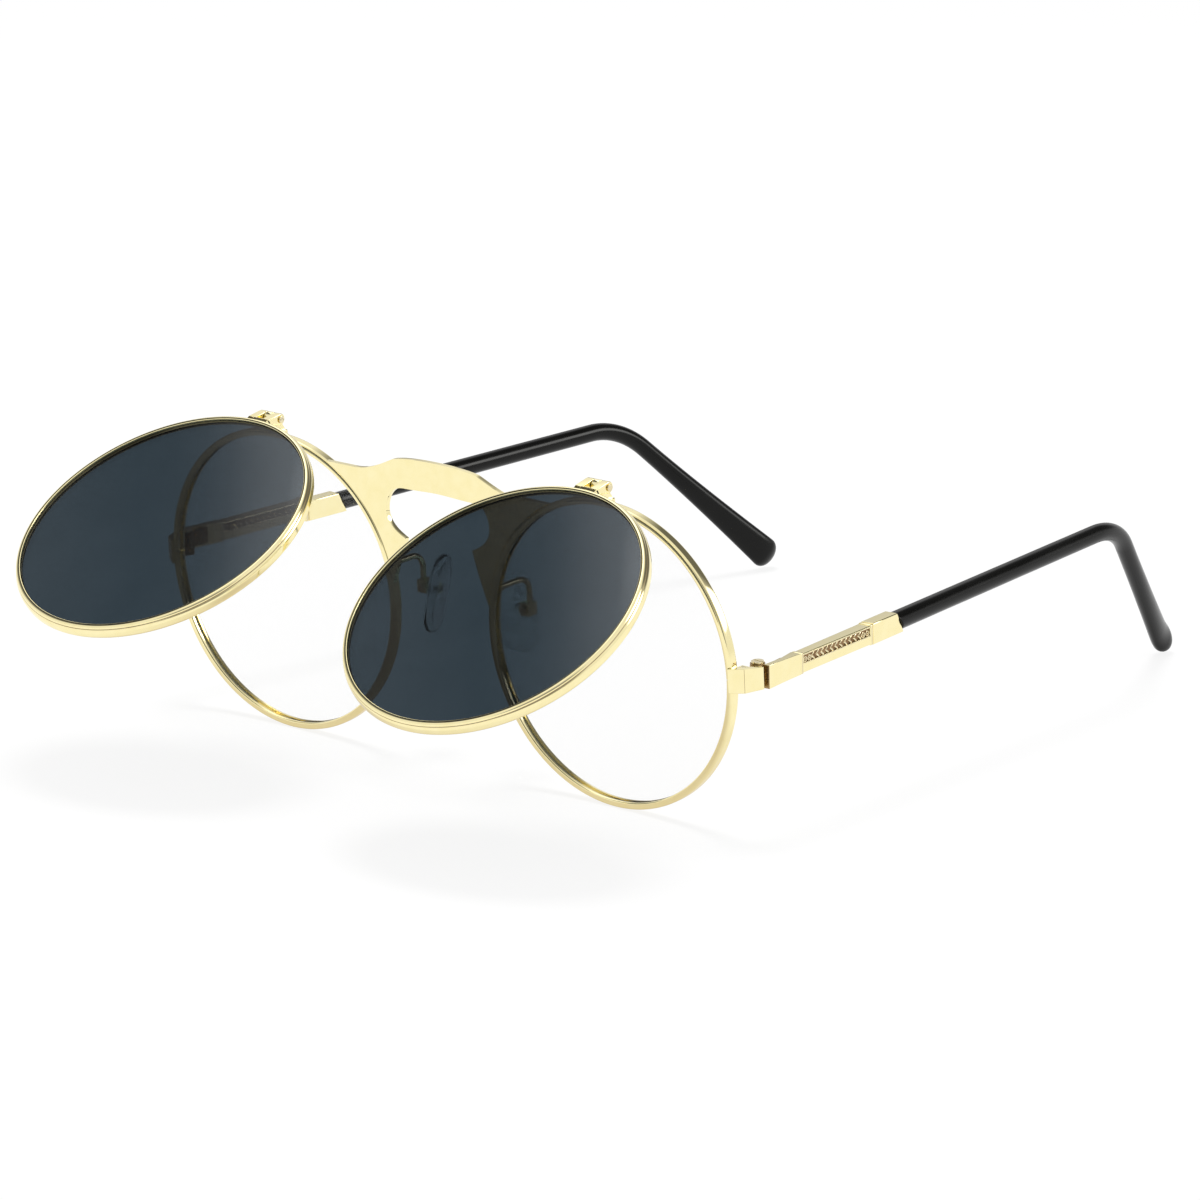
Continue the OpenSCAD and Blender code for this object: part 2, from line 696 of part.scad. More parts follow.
// Soft pad with a boss that rocks on the screw
module nose_pad(side) {
    color(clear) on_pad(side) difference() {
        union() {
            translate([-pad_stem, 0, -pad_axis_z]) rotate([0, -pad_lean, -pad_splay]) hull() {
                for (end = [-1, 1]) {
                    translate([0, 0, end * (pad_h - pad_w) / 2]) rotate([0, 90, 0])
                        cylinder(h = pad_edge * pad_t, d = pad_w, center = true, $fn = pad_fn);
                    translate([0, 0, end * (pad_h - pad_w) / 2]) rotate([0, 90, 0])
                        cylinder(h = pad_t, d = pad_face * pad_w, center = true, $fn = pad_fn);
                }
            }
            rotate([90, 0, 0]) cylinder(h = pad_boss_w, r = pad_boss_r, center = true);
            translate([-pad_stem, -pad_boss_w / 2, -pad_neck * pad_boss_r])
                cube([pad_stem, pad_boss_w, 2 * pad_neck * pad_boss_r]);
        }
        rotate([90, 0, 0]) cylinder(h = 2 * pad_w, d = pad_screw_d + 2 * run_fit, center = true);
    }
}

// Saddle on top of the eye rim with the middle knuckle of the flip hinge
module flip_bracket(side) {
    r = flip_knuckle_d / 2;
    half = rim_depth / 2 - bracket_inset;
    foot_w = flip_knuckle_w + 2 * bracket_step;
    axis = [-flip_axis_fwd, flip_axis_z];
    color(gold) on_rim(side) difference() {
        union() {
            translate([-foot_w / 2, -half, rim_r - bracket_dig])
                cube([foot_w, 2 * half, bracket_dig + bracket_foot]);
            cheek(flip_knuckle_w, [
                [-half, rim_r], [half, rim_r], [half, rim_r + bracket_foot],
                axis + r * [cos(neck_top_angle), sin(neck_top_angle)], axis,
                axis - r * [cos(neck_low_angle), sin(neck_low_angle)], [-half, rim_r + bracket_foot]]);
            translate([0, -flip_axis_fwd, flip_axis_z]) cross_bar(flip_knuckle_w, r);
        }
        seat(rim_r);
        translate([0, -flip_axis_fwd, flip_axis_z]) cross_bar(2 * flip_hinge_w, flip_pin_d / 2 + seam);
    }
}

module flip_pin(side) {
    color(dark_gold) on_rim(side) translate([0, -flip_axis_fwd, flip_axis_z]) {
        cross_bar(flip_hinge_w + 2 * side_gap, flip_pin_d / 2);
        for (end = [-1, 1]) translate([end * (flip_hinge_w / 2 + side_gap + flip_pin_head_h / 2), 0, 0])
            cross_bar(flip_pin_head_h, flip_pin_head_d / 2);
    }
}

// Outer knuckles of the flip hinge, with their foot on the flip rim
module flip_knuckle(side) {
    r = flip_knuckle_d / 2;
    top = flip_r - flip_axis_z;
    front = -flip_mid_fwd - foot_front * flip_depth;
    back = -flip_mid_fwd + foot_back * flip_depth;
    color(gold) on_flip(side) difference() {
        union() {
            for (end = [-1, 1]) translate([end * (flip_knuckle_w + side_gap), 0, 0]) {
                cross_bar(flip_knuckle_w, r);
                cheek(flip_knuckle_w, [
                    r * [-cos(neck_top_angle), sin(neck_top_angle)],
                    r * [cos(neck_low_angle), -sin(neck_low_angle)],
                    [back, top + neck_rise], [back, top - bracket_dig],
                    [front, top - bracket_dig], [front, top + neck_rise]]);
            }
            translate([-flip_hinge_w / 2, front, top - bracket_dig])
                cube([flip_hinge_w, back - front, bracket_dig + bracket_foot]);
        }
        translate([0, 0, -flip_axis_z]) seat(flip_r);
        cross_bar(2 * flip_hinge_w, flip_pin_d / 2 + run_fit);
    }
}

// Flip rim with a thin front lip, a fine groove and a broad band
module flip_rim(side) {
    half = flip_depth / 2;
    lip_r = flip_r - flip_step;
    cut_r = lip_r - flip_cut_deep;
    color(gold) on_flip(side) translate([0, -flip_mid_fwd, -flip_axis_z]) revolve([
        [flip_in, half], [lip_r, half], [lip_r, half - flip_lip], [cut_r, half - flip_lip],
        [cut_r, flip_band], [flip_r - rim_chamfer, flip_band], [flip_r, flip_band - rim_chamfer],
        [flip_r, rim_chamfer - half], [flip_r - rim_chamfer, -half], [flip_in, -half],
        [flip_in, -groove_w / 2], [flip_groove_r, -groove_w / 2],
        [flip_groove_r, groove_w / 2], [flip_in, groove_w / 2]]);
}

module flip_lens(side) {
    color(tint) on_flip(side) translate([0, -flip_mid_fwd, -flip_axis_z])
        lens(flip_in, flip_groove_r - seam);
}

bridge();
eye_rim(-1);  // eye_rim_left
eye_rim(1);  // eye_rim_right
clear_lens(-1);  // clear_lens_left
clear_lens(1);  // clear_lens_right
end_piece(-1);  // end_piece_left
end_piece(1);  // end_piece_right
rim_lock(-1);  // rim_lock_left
rim_lock(1);  // rim_lock_right
rim_lock_screw(-1);  // rim_lock_screw_left
rim_lock_screw(1);  // rim_lock_screw_right
front_hinge_leaf(-1);  // front_hinge_leaf_left
front_hinge_leaf(1);  // front_hinge_leaf_right
temple_hinge_screw(-1);  // temple_hinge_screw_left
temple_hinge_screw(1);  // temple_hinge_screw_right
temple_hinge_leaf(-1);  // temple_hinge_leaf_left
temple_hinge_leaf(1);  // temple_hinge_leaf_right
temple_bar(-1);  // temple_bar_left
temple_bar(1);  // temple_bar_right
temple_ornament(-1);  // temple_ornament_left
temple_ornament(1);  // temple_ornament_right
temple_ferrule(-1);  // temple_ferrule_left
temple_ferrule(1);  // temple_ferrule_right
temple_sleeve(-1);  // temple_sleeve_left
temple_sleeve(1);  // temple_sleeve_right
pad_arm(-1);  // pad_arm_left
pad_arm(1);  // pad_arm_right
pad_box(-1);  // pad_box_left
pad_box(1);  // pad_box_right
pad_screw(-1);  // pad_screw_left
pad_screw(1);  // pad_screw_right
nose_pad(-1);  // nose_pad_left
nose_pad(1);  // nose_pad_right
flip_bracket(-1);  // flip_bracket_left
flip_bracket(1);  // flip_bracket_right
flip_pin(-1);  // flip_pin_left
flip_pin(1);  // flip_pin_right
flip_knuckle(-1);  // flip_knuckle_left
flip_knuckle(1);  // flip_knuckle_right
flip_rim(-1);  // flip_rim_left
flip_rim(1);  // flip_rim_right
flip_lens(-1);  // flip_lens_left
flip_lens(1);  // flip_lens_right
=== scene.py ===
# %% [markdown]
# # Round spectacles with flip-up dark lenses
# The frame that carries everything is already solid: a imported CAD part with 43 nodes on seven
# moving bodies. This lesson dresses it. Almost every node gets a smooth stand-in, because
# polished metal shows every facet of a CAD mesh, and each stand-in keeps the place of the node it
# stands for.

import json
import math

import bmesh
import bpy
from mathutils import Matrix, Vector
from mathutils.geometry import interpolate_bezier


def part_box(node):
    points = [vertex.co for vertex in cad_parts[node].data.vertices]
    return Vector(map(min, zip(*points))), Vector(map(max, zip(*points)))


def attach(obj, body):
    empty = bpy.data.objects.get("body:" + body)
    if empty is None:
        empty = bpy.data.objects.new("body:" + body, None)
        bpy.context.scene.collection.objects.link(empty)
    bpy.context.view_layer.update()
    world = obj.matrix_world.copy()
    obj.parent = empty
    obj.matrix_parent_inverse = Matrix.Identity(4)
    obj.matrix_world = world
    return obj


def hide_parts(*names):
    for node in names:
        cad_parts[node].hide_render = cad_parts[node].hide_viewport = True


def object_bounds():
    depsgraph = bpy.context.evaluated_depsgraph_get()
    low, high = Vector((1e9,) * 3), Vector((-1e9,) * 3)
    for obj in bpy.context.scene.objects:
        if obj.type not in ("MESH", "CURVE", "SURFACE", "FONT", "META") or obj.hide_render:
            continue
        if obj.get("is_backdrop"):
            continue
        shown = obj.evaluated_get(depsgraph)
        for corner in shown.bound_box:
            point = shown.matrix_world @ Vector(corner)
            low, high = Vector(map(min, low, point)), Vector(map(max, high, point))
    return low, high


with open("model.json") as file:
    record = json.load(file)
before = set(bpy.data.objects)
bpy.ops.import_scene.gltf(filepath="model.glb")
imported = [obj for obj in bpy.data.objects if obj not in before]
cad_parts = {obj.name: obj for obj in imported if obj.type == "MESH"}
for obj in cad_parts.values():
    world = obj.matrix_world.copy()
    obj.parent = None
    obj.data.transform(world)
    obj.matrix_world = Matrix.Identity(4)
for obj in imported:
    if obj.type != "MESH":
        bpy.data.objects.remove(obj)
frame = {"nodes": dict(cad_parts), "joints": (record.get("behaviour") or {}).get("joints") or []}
cad_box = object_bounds()

# %% [markdown]
# ## Where things are
# The front leans a few degrees, so it is easiest to model each piece upright, in millimetres, and
# let one matrix carry it to its place in metres. The joints say where the hinges are and how the
# front leans, and the box of an eye rim says where the rims stand. The left side is the right
# side with X turned round.

# %% Measure the frame
joints = {joint["name"]: joint for joint in frame["joints"]}
temple_axis = joints["temple_right_fold"]["axis"]
lean = math.atan2(-temple_axis[1], temple_axis[2])
low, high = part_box("eye_rim_right")
rim_middle = (low + high) / 2
rim_x = rim_middle.x * 1000
SIDES = {"left": -1, "right": 1}
MM = Matrix.Scale(0.001, 4)
LEAN = Matrix.Rotation(lean, 4, "X")


def mirrored(side):
    """Turns X round for the left side."""
    return Matrix.Diagonal((SIDES[side], 1, 1, 1))


def on_front(side="right"):
    """The leaning front, its origin midway between the rims."""
    origin = Matrix.Translation((0, rim_middle.y, rim_middle.z))
    return origin @ LEAN @ mirrored(side) @ MM


def on_rim(side):
    """The middle of an eye rim."""
    return on_front(side) @ Matrix.Translation((rim_x, 0, 0))


def on_joint(name, side):
    """The axis of a joint, leaning with the front."""
    return Matrix.Translation(joints[name]["pos_m"]) @ LEAN @ mirrored(side) @ MM


def on_flip(side):
    """The hinge axis of a flip, turned up as far as that flip stands open."""
    joint = joints[f"flip_{side}_swing"]
    raised = Matrix.Rotation(math.radians(joint["range_deg"][0]), 4, "X")
    return Matrix.Translation(joint["pos_m"]) @ LEAN @ raised @ mirrored(side) @ MM


print(f"lean {math.degrees(lean):.1f} degrees, rim centres {2 * rim_x:.1f} mm apart")

# %% [markdown]
# ## From a bmesh to a piece
# Every piece ends the same way: doubles are merged, the shape is carried to its place, its
# normals are recalculated, and it is smoothed with sharp edges kept. It then rides on its body
# and hides the CAD nodes that it stands for. Doing this in one helper keeps the cells below about
# shape.

# %% Finish a piece
CREASE = math.radians(32)


def finish_piece(bm, name, place, body, finishes, nodes):
    """Writes a bmesh drawn in millimetres as a piece that rides on a body."""
    bmesh.ops.remove_doubles(bm, verts=bm.verts, dist=1e-4)
    bmesh.ops.transform(bm, matrix=place, verts=bm.verts)
    bmesh.ops.recalc_face_normals(bm, faces=bm.faces)
    mesh = bpy.data.meshes.new(name)
    bm.to_mesh(mesh)
    bm.free()
    for finish in finishes:
        mesh.materials.append(finish)
    mesh.shade_smooth()
    mesh.set_sharp_from_angle(angle=CREASE)
    piece = bpy.data.objects.new(name, mesh)
    bpy.context.scene.collection.objects.link(piece)
    crisp = piece.modifiers.new("crisp faces", "WEIGHTED_NORMAL")
    crisp.keep_sharp = True
    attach(piece, body)
    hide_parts(*nodes)
    return piece


def body_at(side, body):
    """The front is one body, and all others come in pairs."""
    return body if body == "front" else f"{body}_{side}"


def pair(stem, draw, place, body, finishes, nodes):
    """Makes the left and right piece of one drawing, and prints their size."""
    for side in SIDES:
        own = [f"{node}_{side}" for node in nodes]
        piece = finish_piece(
            draw(), f"{stem}_{side}", place(side), body_at(side, body), finishes, own)
    size = " x ".join(f"{1000 * d:.1f}" for d in piece.dimensions)
    print(f"{stem}: {len(piece.data.polygons)} faces, {size} mm")

# %% [markdown]
# ## Finishes as small node trees
# A finish is a Principled shader with a few textures in front of it. The textures read Object
# coordinates, which are metres here, so a noise scale of 1000 makes spots of about a millimetre.
# One helper adds a node and either sets or links each of its sockets. The others are built on it:
# they start a finish, add a noise, spread a noise over a range of numbers, and blend two colours.


# %% Helpers for finishes
def add_node(tree, kind, inputs, **options):
    """A node with its options, its sockets set to constants or linked to other sockets."""
    node = tree.nodes.new(f"ShaderNode{kind}")
    for name, value in options.items():
        setattr(node, name, value)
    plug(tree, node, inputs)
    return node


def plug(tree, node, inputs):
    """Sets or links the sockets of a node."""
    for key, value in inputs.items():
        if isinstance(value, bpy.types.NodeSocket):
            tree.links.new(value, node.inputs[key])
        else:
            node.inputs[key].default_value = value


def start_finish(name):
    """A new material, its tree and its Principled shader."""
    material = bpy.data.materials.new(name)
    material.use_nodes = True
    tree = material.node_tree
    return material, tree, tree.nodes["Principled BSDF"]


def add_noise(tree, scale, detail=2.0, stretch=(1, 1, 1)):
    """A noise in object space, drawn out along the axes whose stretch is small."""
    place = add_node(tree, "TexCoord", {}).outputs["Object"]
    mapping = add_node(tree, "Mapping", {"Vector": place, "Scale": stretch})
    noise = add_node(tree, "TexNoise", {
        "Vector": mapping.outputs["Vector"], "Scale": scale, "Detail": detail})
    return noise.outputs["Fac"]


def add_range(tree, value, least, most):
    """Spreads the middle of a noise over a range of numbers."""
    return add_node(tree, "MapRange", {
        "Value": value, "From Min": 0.3, "From Max": 0.7, "To Min": least, "To Max": most,
    }).outputs["Result"]


def add_mix(tree, factor, first, second, blend_type="MIX"):
    """Mixes two colours, each a constant or a socket."""
    inputs = {"Factor": factor, "A": first, "B": second}
    mix = add_node(tree, "Mix", inputs, data_type="RGBA", blend_type=blend_type)
    return mix.outputs["Result"]


def add_cloud(tree, cloud, first, second, roughness):
    """Sockets of a shader whose colour and polish both drift with one noise."""
    drift = add_range(tree, cloud, 0, 1)
    return {
        "Base Color": add_mix(tree, drift, (*first, 1), (*second, 1)),
        "Roughness": add_range(tree, cloud, *roughness)}


def add_bump(tree, noise, strength, height):
    """A normal raised by a noise, height in metres."""
    return add_node(tree, "Bump", {
        "Height": noise, "Strength": strength, "Distance": height}).outputs["Normal"]


# %% [markdown]
# ## Pale gold plate
# The frame is metal with a thin polished gold plating. A mirror with one colour looks like
# plastic foil, so the colour drifts a little between a lemon and a champagne gold, the polish is
# cloudy at the scale of a few millimetres, and a fine ripple stands for the buffing. The ornament
# holds darkened gold in its hollows, which no cloth reaches. A second, darker gold is painted
# shade:
# it goes inside the hinges, in the nick of the flip rims and along the bend of the end pieces.


# %% Gold finishes
def gold_finish(name, pale, deep, roughness, ripple):
    """Plated metal with drifting colour, cloudy polish and a fine ripple."""
    material, tree, shader = start_finish(name)
    buffing = add_noise(tree, 9000, 3, (1, 0.35, 1))
    plug(tree, shader, {
        **add_cloud(tree, add_noise(tree, 420, 3), pale, deep, roughness),
        "Metallic": 1.0, "Normal": add_bump(tree, buffing, ripple, 1e-6)})
    return material


GOLD = gold_finish("pale_gold", (0.985, 0.885, 0.52), (0.965, 0.855, 0.47), (0.05, 0.10), 0.05)
PATINA = gold_finish("dark_patina", (0.40, 0.26, 0.13), (0.22, 0.13, 0.06), (0.35, 0.55), 0.8)
# Darker gold painted as shade, for the hinge gaps, the nick of the flip rims and the bend of the
# end pieces.
SHADE_PAINTED_GOLD = gold_finish("painted_shade_gold", (0.50, 0.36, 0.18), (0.34, 0.23, 0.11), (0.25, 0.4), 0.5)
SCREW = gold_finish("screw_gold", (0.86, 0.77, 0.52), (0.76, 0.65, 0.40), (0.12, 0.22), 0.35)
print("gold finishes:", GOLD.name, PATINA.name, SHADE_PAINTED_GOLD.name, SCREW.name)

# %% [markdown]
# ## Clear and tinted resin
# The dark lenses are tinted all through, so what shows behind them is filtered and dark. Glass
# with a dark colour does that by itself. The dimmer, browner tone of the metal behind them is
# painted shade in the table and sky that it mirrors. The tint is a touch weaker in some places,
# and the polish has a faint cloud. The clear lenses hardly show: they are an almost fully open
# surface with a hint of gloss, which also lets the light through to the table. The nose pads are
# clear silicone, which bends light less than the lenses and is a little less polished.


# %% Lens and pad finishes
def resin_finish(name, tint, other_tint, roughness, bending=1.5):
    """Clear or tinted resin that bends light."""
    material, tree, shader = start_finish(name)
    plug(tree, shader, {
        **add_cloud(tree, add_noise(tree, 90), tint, other_tint, roughness),
        "Transmission Weight": 1.0, "IOR": bending})
    return material


def film_finish(name, colour, other, opacity, roughness):
    """An almost open surface: a little gloss, and the light goes through."""
    material, tree, shader = start_finish(name)
    plug(tree, shader, {
        **add_cloud(tree, add_noise(tree, 160), colour, other, roughness), "Alpha": opacity})
    return material


TINTED = resin_finish("tinted_resin", (0.036, 0.054, 0.068), (0.032, 0.049, 0.062), (0.0, 0.02))
CLEAR = film_finish("clear_resin", (0.97, 0.98, 0.98), (0.94, 0.96, 0.97), 0.03, (0.02, 0.05))
SILICONE = resin_finish("pad_silicone", (0.97, 0.98, 0.98), (0.93, 0.95, 0.95), (0.03, 0.1), 1.41)
print("resin finishes:", TINTED.name, CLEAR.name, SILICONE.name)

# %% [markdown]
# ## Black sleeve
# The ear pieces are sleeves of glossy black plastic. Black is never zero, and a moulded surface
# is never a perfect mirror: a long faint ripple runs along it, and the gloss is a little uneven.
# The same black covers the ground edge of the dark lenses.

# %% Sleeve finish
BLACK = (0.0025, 0.0025, 0.002)
SOFT_BLACK = (0.0045, 0.0045, 0.004)


def sleeve_finish():
    """Glossy black plastic with an uneven gloss."""
    material, tree, shader = start_finish("black_sleeve")
    cloud = add_noise(tree, 260, 3, (1, 0.3, 1))
    moulding = add_noise(tree, 900, 2, (1, 0.15, 1))
    plug(tree, shader, {
        **add_cloud(tree, cloud, BLACK, SOFT_BLACK, (0.14, 0.24)),
        "Specular IOR Level": 0.18, "Normal": add_bump(tree, moulding, 0.3, 1.2e-5)})
    return material


SLEEVE = sleeve_finish()
print("sleeve finish:", SLEEVE.name)

# %% [markdown]
# ## Drawing rings
# Rims and lenses are round, so each is a section spun about the middle. The section starts as one
# flat face of a few corners, because the bevel operator can then round each corner by its own
# radius. Its face is deleted and its outline is spun. A full turn merges its last step with its
# first. Radius runs along X, and forward is -Y.

# %% Spin a section
RING_STEPS = 240


def outline_of(corners):
    """A bmesh with the outline of a section: radius, forward and rounding of each corner."""
    bm = bmesh.new()
    verts = [bm.verts.new((radius, -forward, 0)) for radius, forward, _ in corners]
    bm.faces.new(verts)
    for rounding in sorted({corner[2] for corner in corners} - {0}):
        chosen = [v for v, corner in zip(verts, corners) if corner[2] == rounding]
        bmesh.ops.bevel(
            bm, geom=chosen, offset=rounding, segments=4, profile=0.5,
            affect="VERTICES", material=-1)
    bmesh.ops.delete(bm, geom=bm.faces[:], context="FACES_ONLY")
    return bm


def spin_ring(bm, turn=math.tau):
    """Spins everything drawn so far about the Y axis."""
    bmesh.ops.spin(
        bm, geom=bm.verts[:] + bm.edges[:], cent=(0, 0, 0), axis=(0, 1, 0), dvec=(0, 0, 0),
        angle=turn, steps=RING_STEPS, use_merge=turn == math.tau)
    return bm


def close_holes(bm):
    """Fills every open outline."""
    bmesh.ops.holes_fill(bm, edges=[edge for edge in bm.edges if edge.is_boundary])


# %% [markdown]
# ## Eye rims
# Each eye rim is a drawn wire with round edges and a groove inside for the lens. The wire is cut
# once, at the end piece, where a screw closes it round the lens. So the section is spun a little
# less than a full turn, and its two cut ends are filled.

# %% Eye rims
lens_r = 25.0
rim_r = 26.2
rim_half = 1.0
groove_r = 25.5
groove_half = 0.4
split = 0.2
split_height = 0.6
RIM_CORNERS = [
    (lens_r, rim_half, 0.28), (rim_r, rim_half, 0.5), (rim_r, -rim_half, 0.5),
    (lens_r, -rim_half, 0.28), (lens_r, -groove_half, 0), (groove_r, -groove_half, 0),
    (groove_r, groove_half, 0), (lens_r, groove_half, 0)]


def draw_eye_rim():
    """A wire ring with a cut at the height of the end piece."""
    gap = split / rim_r
    bm = spin_ring(outline_of(RIM_CORNERS), math.tau - gap)
    close_holes(bm)
    rise = math.asin(split_height / rim_r) - gap / 2
    turn = Matrix.Rotation(-rise, 3, "Y")
    bmesh.ops.rotate(bm, verts=bm.verts, cent=(0, 0, 0), matrix=turn)
    return bm


pair("eye_wire", draw_eye_rim, on_rim, "front", [GOLD], ["eye_rim"])

# %% [markdown]
# ## Lenses
# A lens is a shallow cap with a tongue round its edge that sits in the groove of the rim. Half of
# its outline, from the axis out and back to the axis, is spun a full turn. The points on the axis
# fall together and are merged with the doubles.

# %% Clear lenses
lens_play = 0.1
lens_half = 0.8
lens_sag = 0.9
tongue_half = 0.37
CAP_STEPS = 14


def draw_lens(opening, edge_r):
    """Half of the outline of a lens, spun: it fills an opening, and its tongue has its own edge."""
    body_r = opening - lens_play
    share = [i / CAP_STEPS for i in range(CAP_STEPS + 1)]
    cap = [(body_r * s, lens_sag * (1 - s * s)) for s in share]
    front = [(radius, rise + lens_half) for radius, rise in cap]
    back = [(radius, rise - lens_half) for radius, rise in reversed(cap)]
    tongue = [
        (body_r, tongue_half), (edge_r, tongue_half), (edge_r, -tongue_half),
        (body_r, -tongue_half)]
    bm = bmesh.new()
    verts = [bm.verts.new((radius, -forward, 0)) for radius, forward in front + tongue + back]
    for first, second in zip(verts, verts[1:]):
        bm.edges.new((first, second))
    return spin_ring(bm)


def draw_clear_lens():
    """The lens of an eye rim."""
    return draw_lens(lens_r, groove_r - 0.04)


pair("clear_glass", draw_clear_lens, on_rim, "front", [CLEAR], ["clear_lens"])

# %% [markdown]
# ## Flip rims and dark lenses
# The flip rim is a turned ring: a half-round lip in front, a fine nick whose darker gold is
# painted shade, and a broad band behind. The ground edge of its lens is black, which shows as a
# dark line inside the rim. Both hang from the hinge, so they are drawn round their own middle and
# then moved below its axis.

# %% Flip rims and dark lenses
flip_r = 26.6
flip_in = 25.45
flip_groove_r = 25.75
flip_half = 1.2
lip_r = 26.2
flip_axis_up = 29.45
flip_forward = 1.4
nick_front = 0.74
nick_back = 0.6
nick_r = 26.35
FLIP_CORNERS = [
    (flip_in, flip_half, 0.1), (lip_r, flip_half, 0.36), (26.36, nick_front, 0),
    (26.27, 0.66, 0), (26.38, nick_back, 0), (flip_r, 0.3, 0.25), (flip_r, -flip_half, 0.55),
    (flip_in, -flip_half, 0.2), (flip_in, -groove_half, 0), (flip_groove_r, -groove_half, 0),
    (flip_groove_r, groove_half, 0), (flip_in, groove_half, 0)]


def give_second(bm, chosen):
    """Gives the second finish to the faces whose middle is chosen."""
    for face in bm.faces:
        if chosen(face.calc_center_median()):
            face.material_index = 1


def hang(bm):
    """Moves a ring from the middle of a flip to below its hinge axis."""
    bmesh.ops.translate(bm, verts=bm.verts, vec=(0, -flip_forward, -flip_axis_up))
    return bm


def draw_flip_rim():
    """The ring of a flip, its nick painted darker as shade."""
    bm = spin_ring(outline_of(FLIP_CORNERS))
    # The nick takes the darker gold as painted shade.
    give_second(bm, lambda p: nick_back < -p.y < nick_front and p.xz.length < nick_r)
    return hang(bm)


def draw_dark_lens():
    """The lens of a flip, its ground edge black."""
    bm = draw_lens(flip_in, flip_groove_r - 0.03)
    edge_from = flip_in - lens_play - 0.1
    give_second(bm, lambda p: p.xz.length > edge_from)
    return hang(bm)


pair("flip_ring", draw_flip_rim, on_flip, "flip", [GOLD, SHADE_PAINTED_GOLD], ["flip_rim"])
pair(
    "dark_glass", draw_dark_lens, on_flip, "flip", [TINTED, SLEEVE], ["flip_lens"])

# %% [markdown]
# ## Plates and blocks
# The other pieces are cut from sheet or bar. Each starts as one flat face with the outline of the
# piece, is extruded to its thickness, and gets its sharp edges rounded by the bevel operator,
# since a real plated edge always catches a thin line of light.


# %% Helpers for plates
def of_kind(geom, kind):
    """The vertices, or the edges, among what an operator returned."""
    return [item for item in geom if isinstance(item, kind)]


def thicken(bm, faces, thickness):
    """Extrudes flat faces by a vector."""
    made = bmesh.ops.extrude_face_region(bm, geom=faces)["geom"]
    bmesh.ops.translate(bm, verts=of_kind(made, bmesh.types.BMVert), vec=thickness)


def add_plate(bm, outline, thickness):
    """Adds a plate: a closed outline of points, and the vector of its thickness."""
    thicken(bm, [bm.faces.new([bm.verts.new(point) for point in outline])], thickness)


def cut_across(bm, point, facing, **clear):
    """Cuts everything drawn so far by a plane."""
    bmesh.ops.bisect_plane(
        bm, geom=bm.verts[:] + bm.edges[:] + bm.faces[:], plane_co=point, plane_no=facing,
        **clear)


def take_in(bm, other):
    """Adds what another bmesh holds, and frees that one."""
    spare = bpy.data.meshes.new("spare")
    other.to_mesh(spare)
    other.free()
    bm.from_mesh(spare)
    bpy.data.meshes.remove(spare)


def soften(bm, rounding, segments=3, least=28):
    """Rounds the edges that turn by more than a few degrees."""
    bmesh.ops.recalc_face_normals(bm, faces=bm.faces)
    edges = [
        edge for edge in bm.edges
        if len(edge.link_faces) == 2 and edge.calc_face_angle() > math.radians(least)]
    bmesh.ops.bevel(
        bm, geom=edges, offset=rounding, segments=segments, profile=0.5,
        affect="EDGES", material=-1, clamp_overlap=True)
    return bm


def add_block(bm, lowest, highest):
    """Adds a plain block between two corners, to be rounded later, and returns its vertices."""
    middle = (Vector(lowest) + Vector(highest)) / 2
    size = Vector(highest) - Vector(lowest)
    place = Matrix.Translation(middle) @ Matrix.Diagonal((*size, 1))
    return bmesh.ops.create_cube(bm, size=1, matrix=place)["verts"]


def add_rod(bm, radius, length, place, segments=32):
    """Adds a rod along the Z axis of a place."""
    bmesh.ops.create_cone(
        bm, cap_ends=True, segments=segments, radius1=radius, radius2=radius, depth=length,
        matrix=place)


def arc(middle, radius, first, last, steps):
    """Points along an arc, its angles in degrees."""
    angles = [math.radians(first + (last - first) * i / steps) for i in range(steps + 1)]
    return [
        (middle[0] + radius * math.cos(a), middle[1] + radius * math.sin(a)) for a in angles]


# %% [markdown]
# ## Bridge
# The bridge is stamped from sheet: a crown with a cusp at each end, shoulders that run down to
# the rims, and two pointed legs that follow the rims past the nose. Its outline is drawn with
# Bezier curves, one for each stretch, as a draughtsman would use a French curve. Only the right
# half is drawn. It is mirrored flat, its middle seam is dissolved, and then the whole plate is
# extruded. Its crown is dished a little towards the front, so the flat face is first cut across
# many times by the bisect operator, which gives it rows of vertices to bend by. It laps a hair
# into the rims, where the real one is brazed.

# %% Bridge
bridge_front = -0.85
bridge_thick = 0.9
braze_lap = 0.05
crown = (0, 27.1)
cusp = (9.3, 26.4)
shoulder = (18.72, 23.5)
foot = (11.21, 2.4)
leg_tip = (7.7, 12.6)
waist = (11.8, 16.9)
corner = (7.6, 21.45)
opening = (0, 21.7)
CURVE_POINTS = 18
dish_from = 19.0
dish_rise = 0.0074
DISH_CUTS = 16


def stretch(start, leave, meet, end):
    """Points of one Bezier stretch, its first point left out."""
    knots = [Vector((x, 0, z)) for x, z in (start, leave, meet, end)]
    return interpolate_bezier(*knots, CURVE_POINTS)[1:]


def bridge_outline():
    """Right half of the outline, from the crown round to the nose opening."""
    rim = Vector((rim_x, 0, 0))
    lap_r = rim_r - braze_lap
    upper = [Vector((crown[0], 0, crown[1]))]
    upper += stretch(crown, (3.7, 27.1), (7.0, 26.9), cusp)
    upper += stretch(cusp, (12.0, 25.2), (15.2, 23.5), shoulder)
    leg = stretch(foot, (9.8, 6.0), (8.6, 9.0), leg_tip)
    lower = [point for point in leg if (point - rim).length > lap_r]
    lower += stretch(leg_tip, (9.5, 13.4), (11.7, 14.6), waist)
    lower += stretch(waist, (11.85, 19.3), (10.2, 21.4), corner)
    lower += stretch(corner, (5.0, 21.45), (2.5, 21.7), opening)
    high_end = math.degrees(math.asin(shoulder[1] / lap_r))
    low_end = math.degrees(math.asin(lower[0].z / lap_r))
    along = arc((rim_x, 0), lap_r, 180 - high_end, 180 - low_end, 40)
    return upper + [Vector((x, 0, z)) for x, z in along] + lower


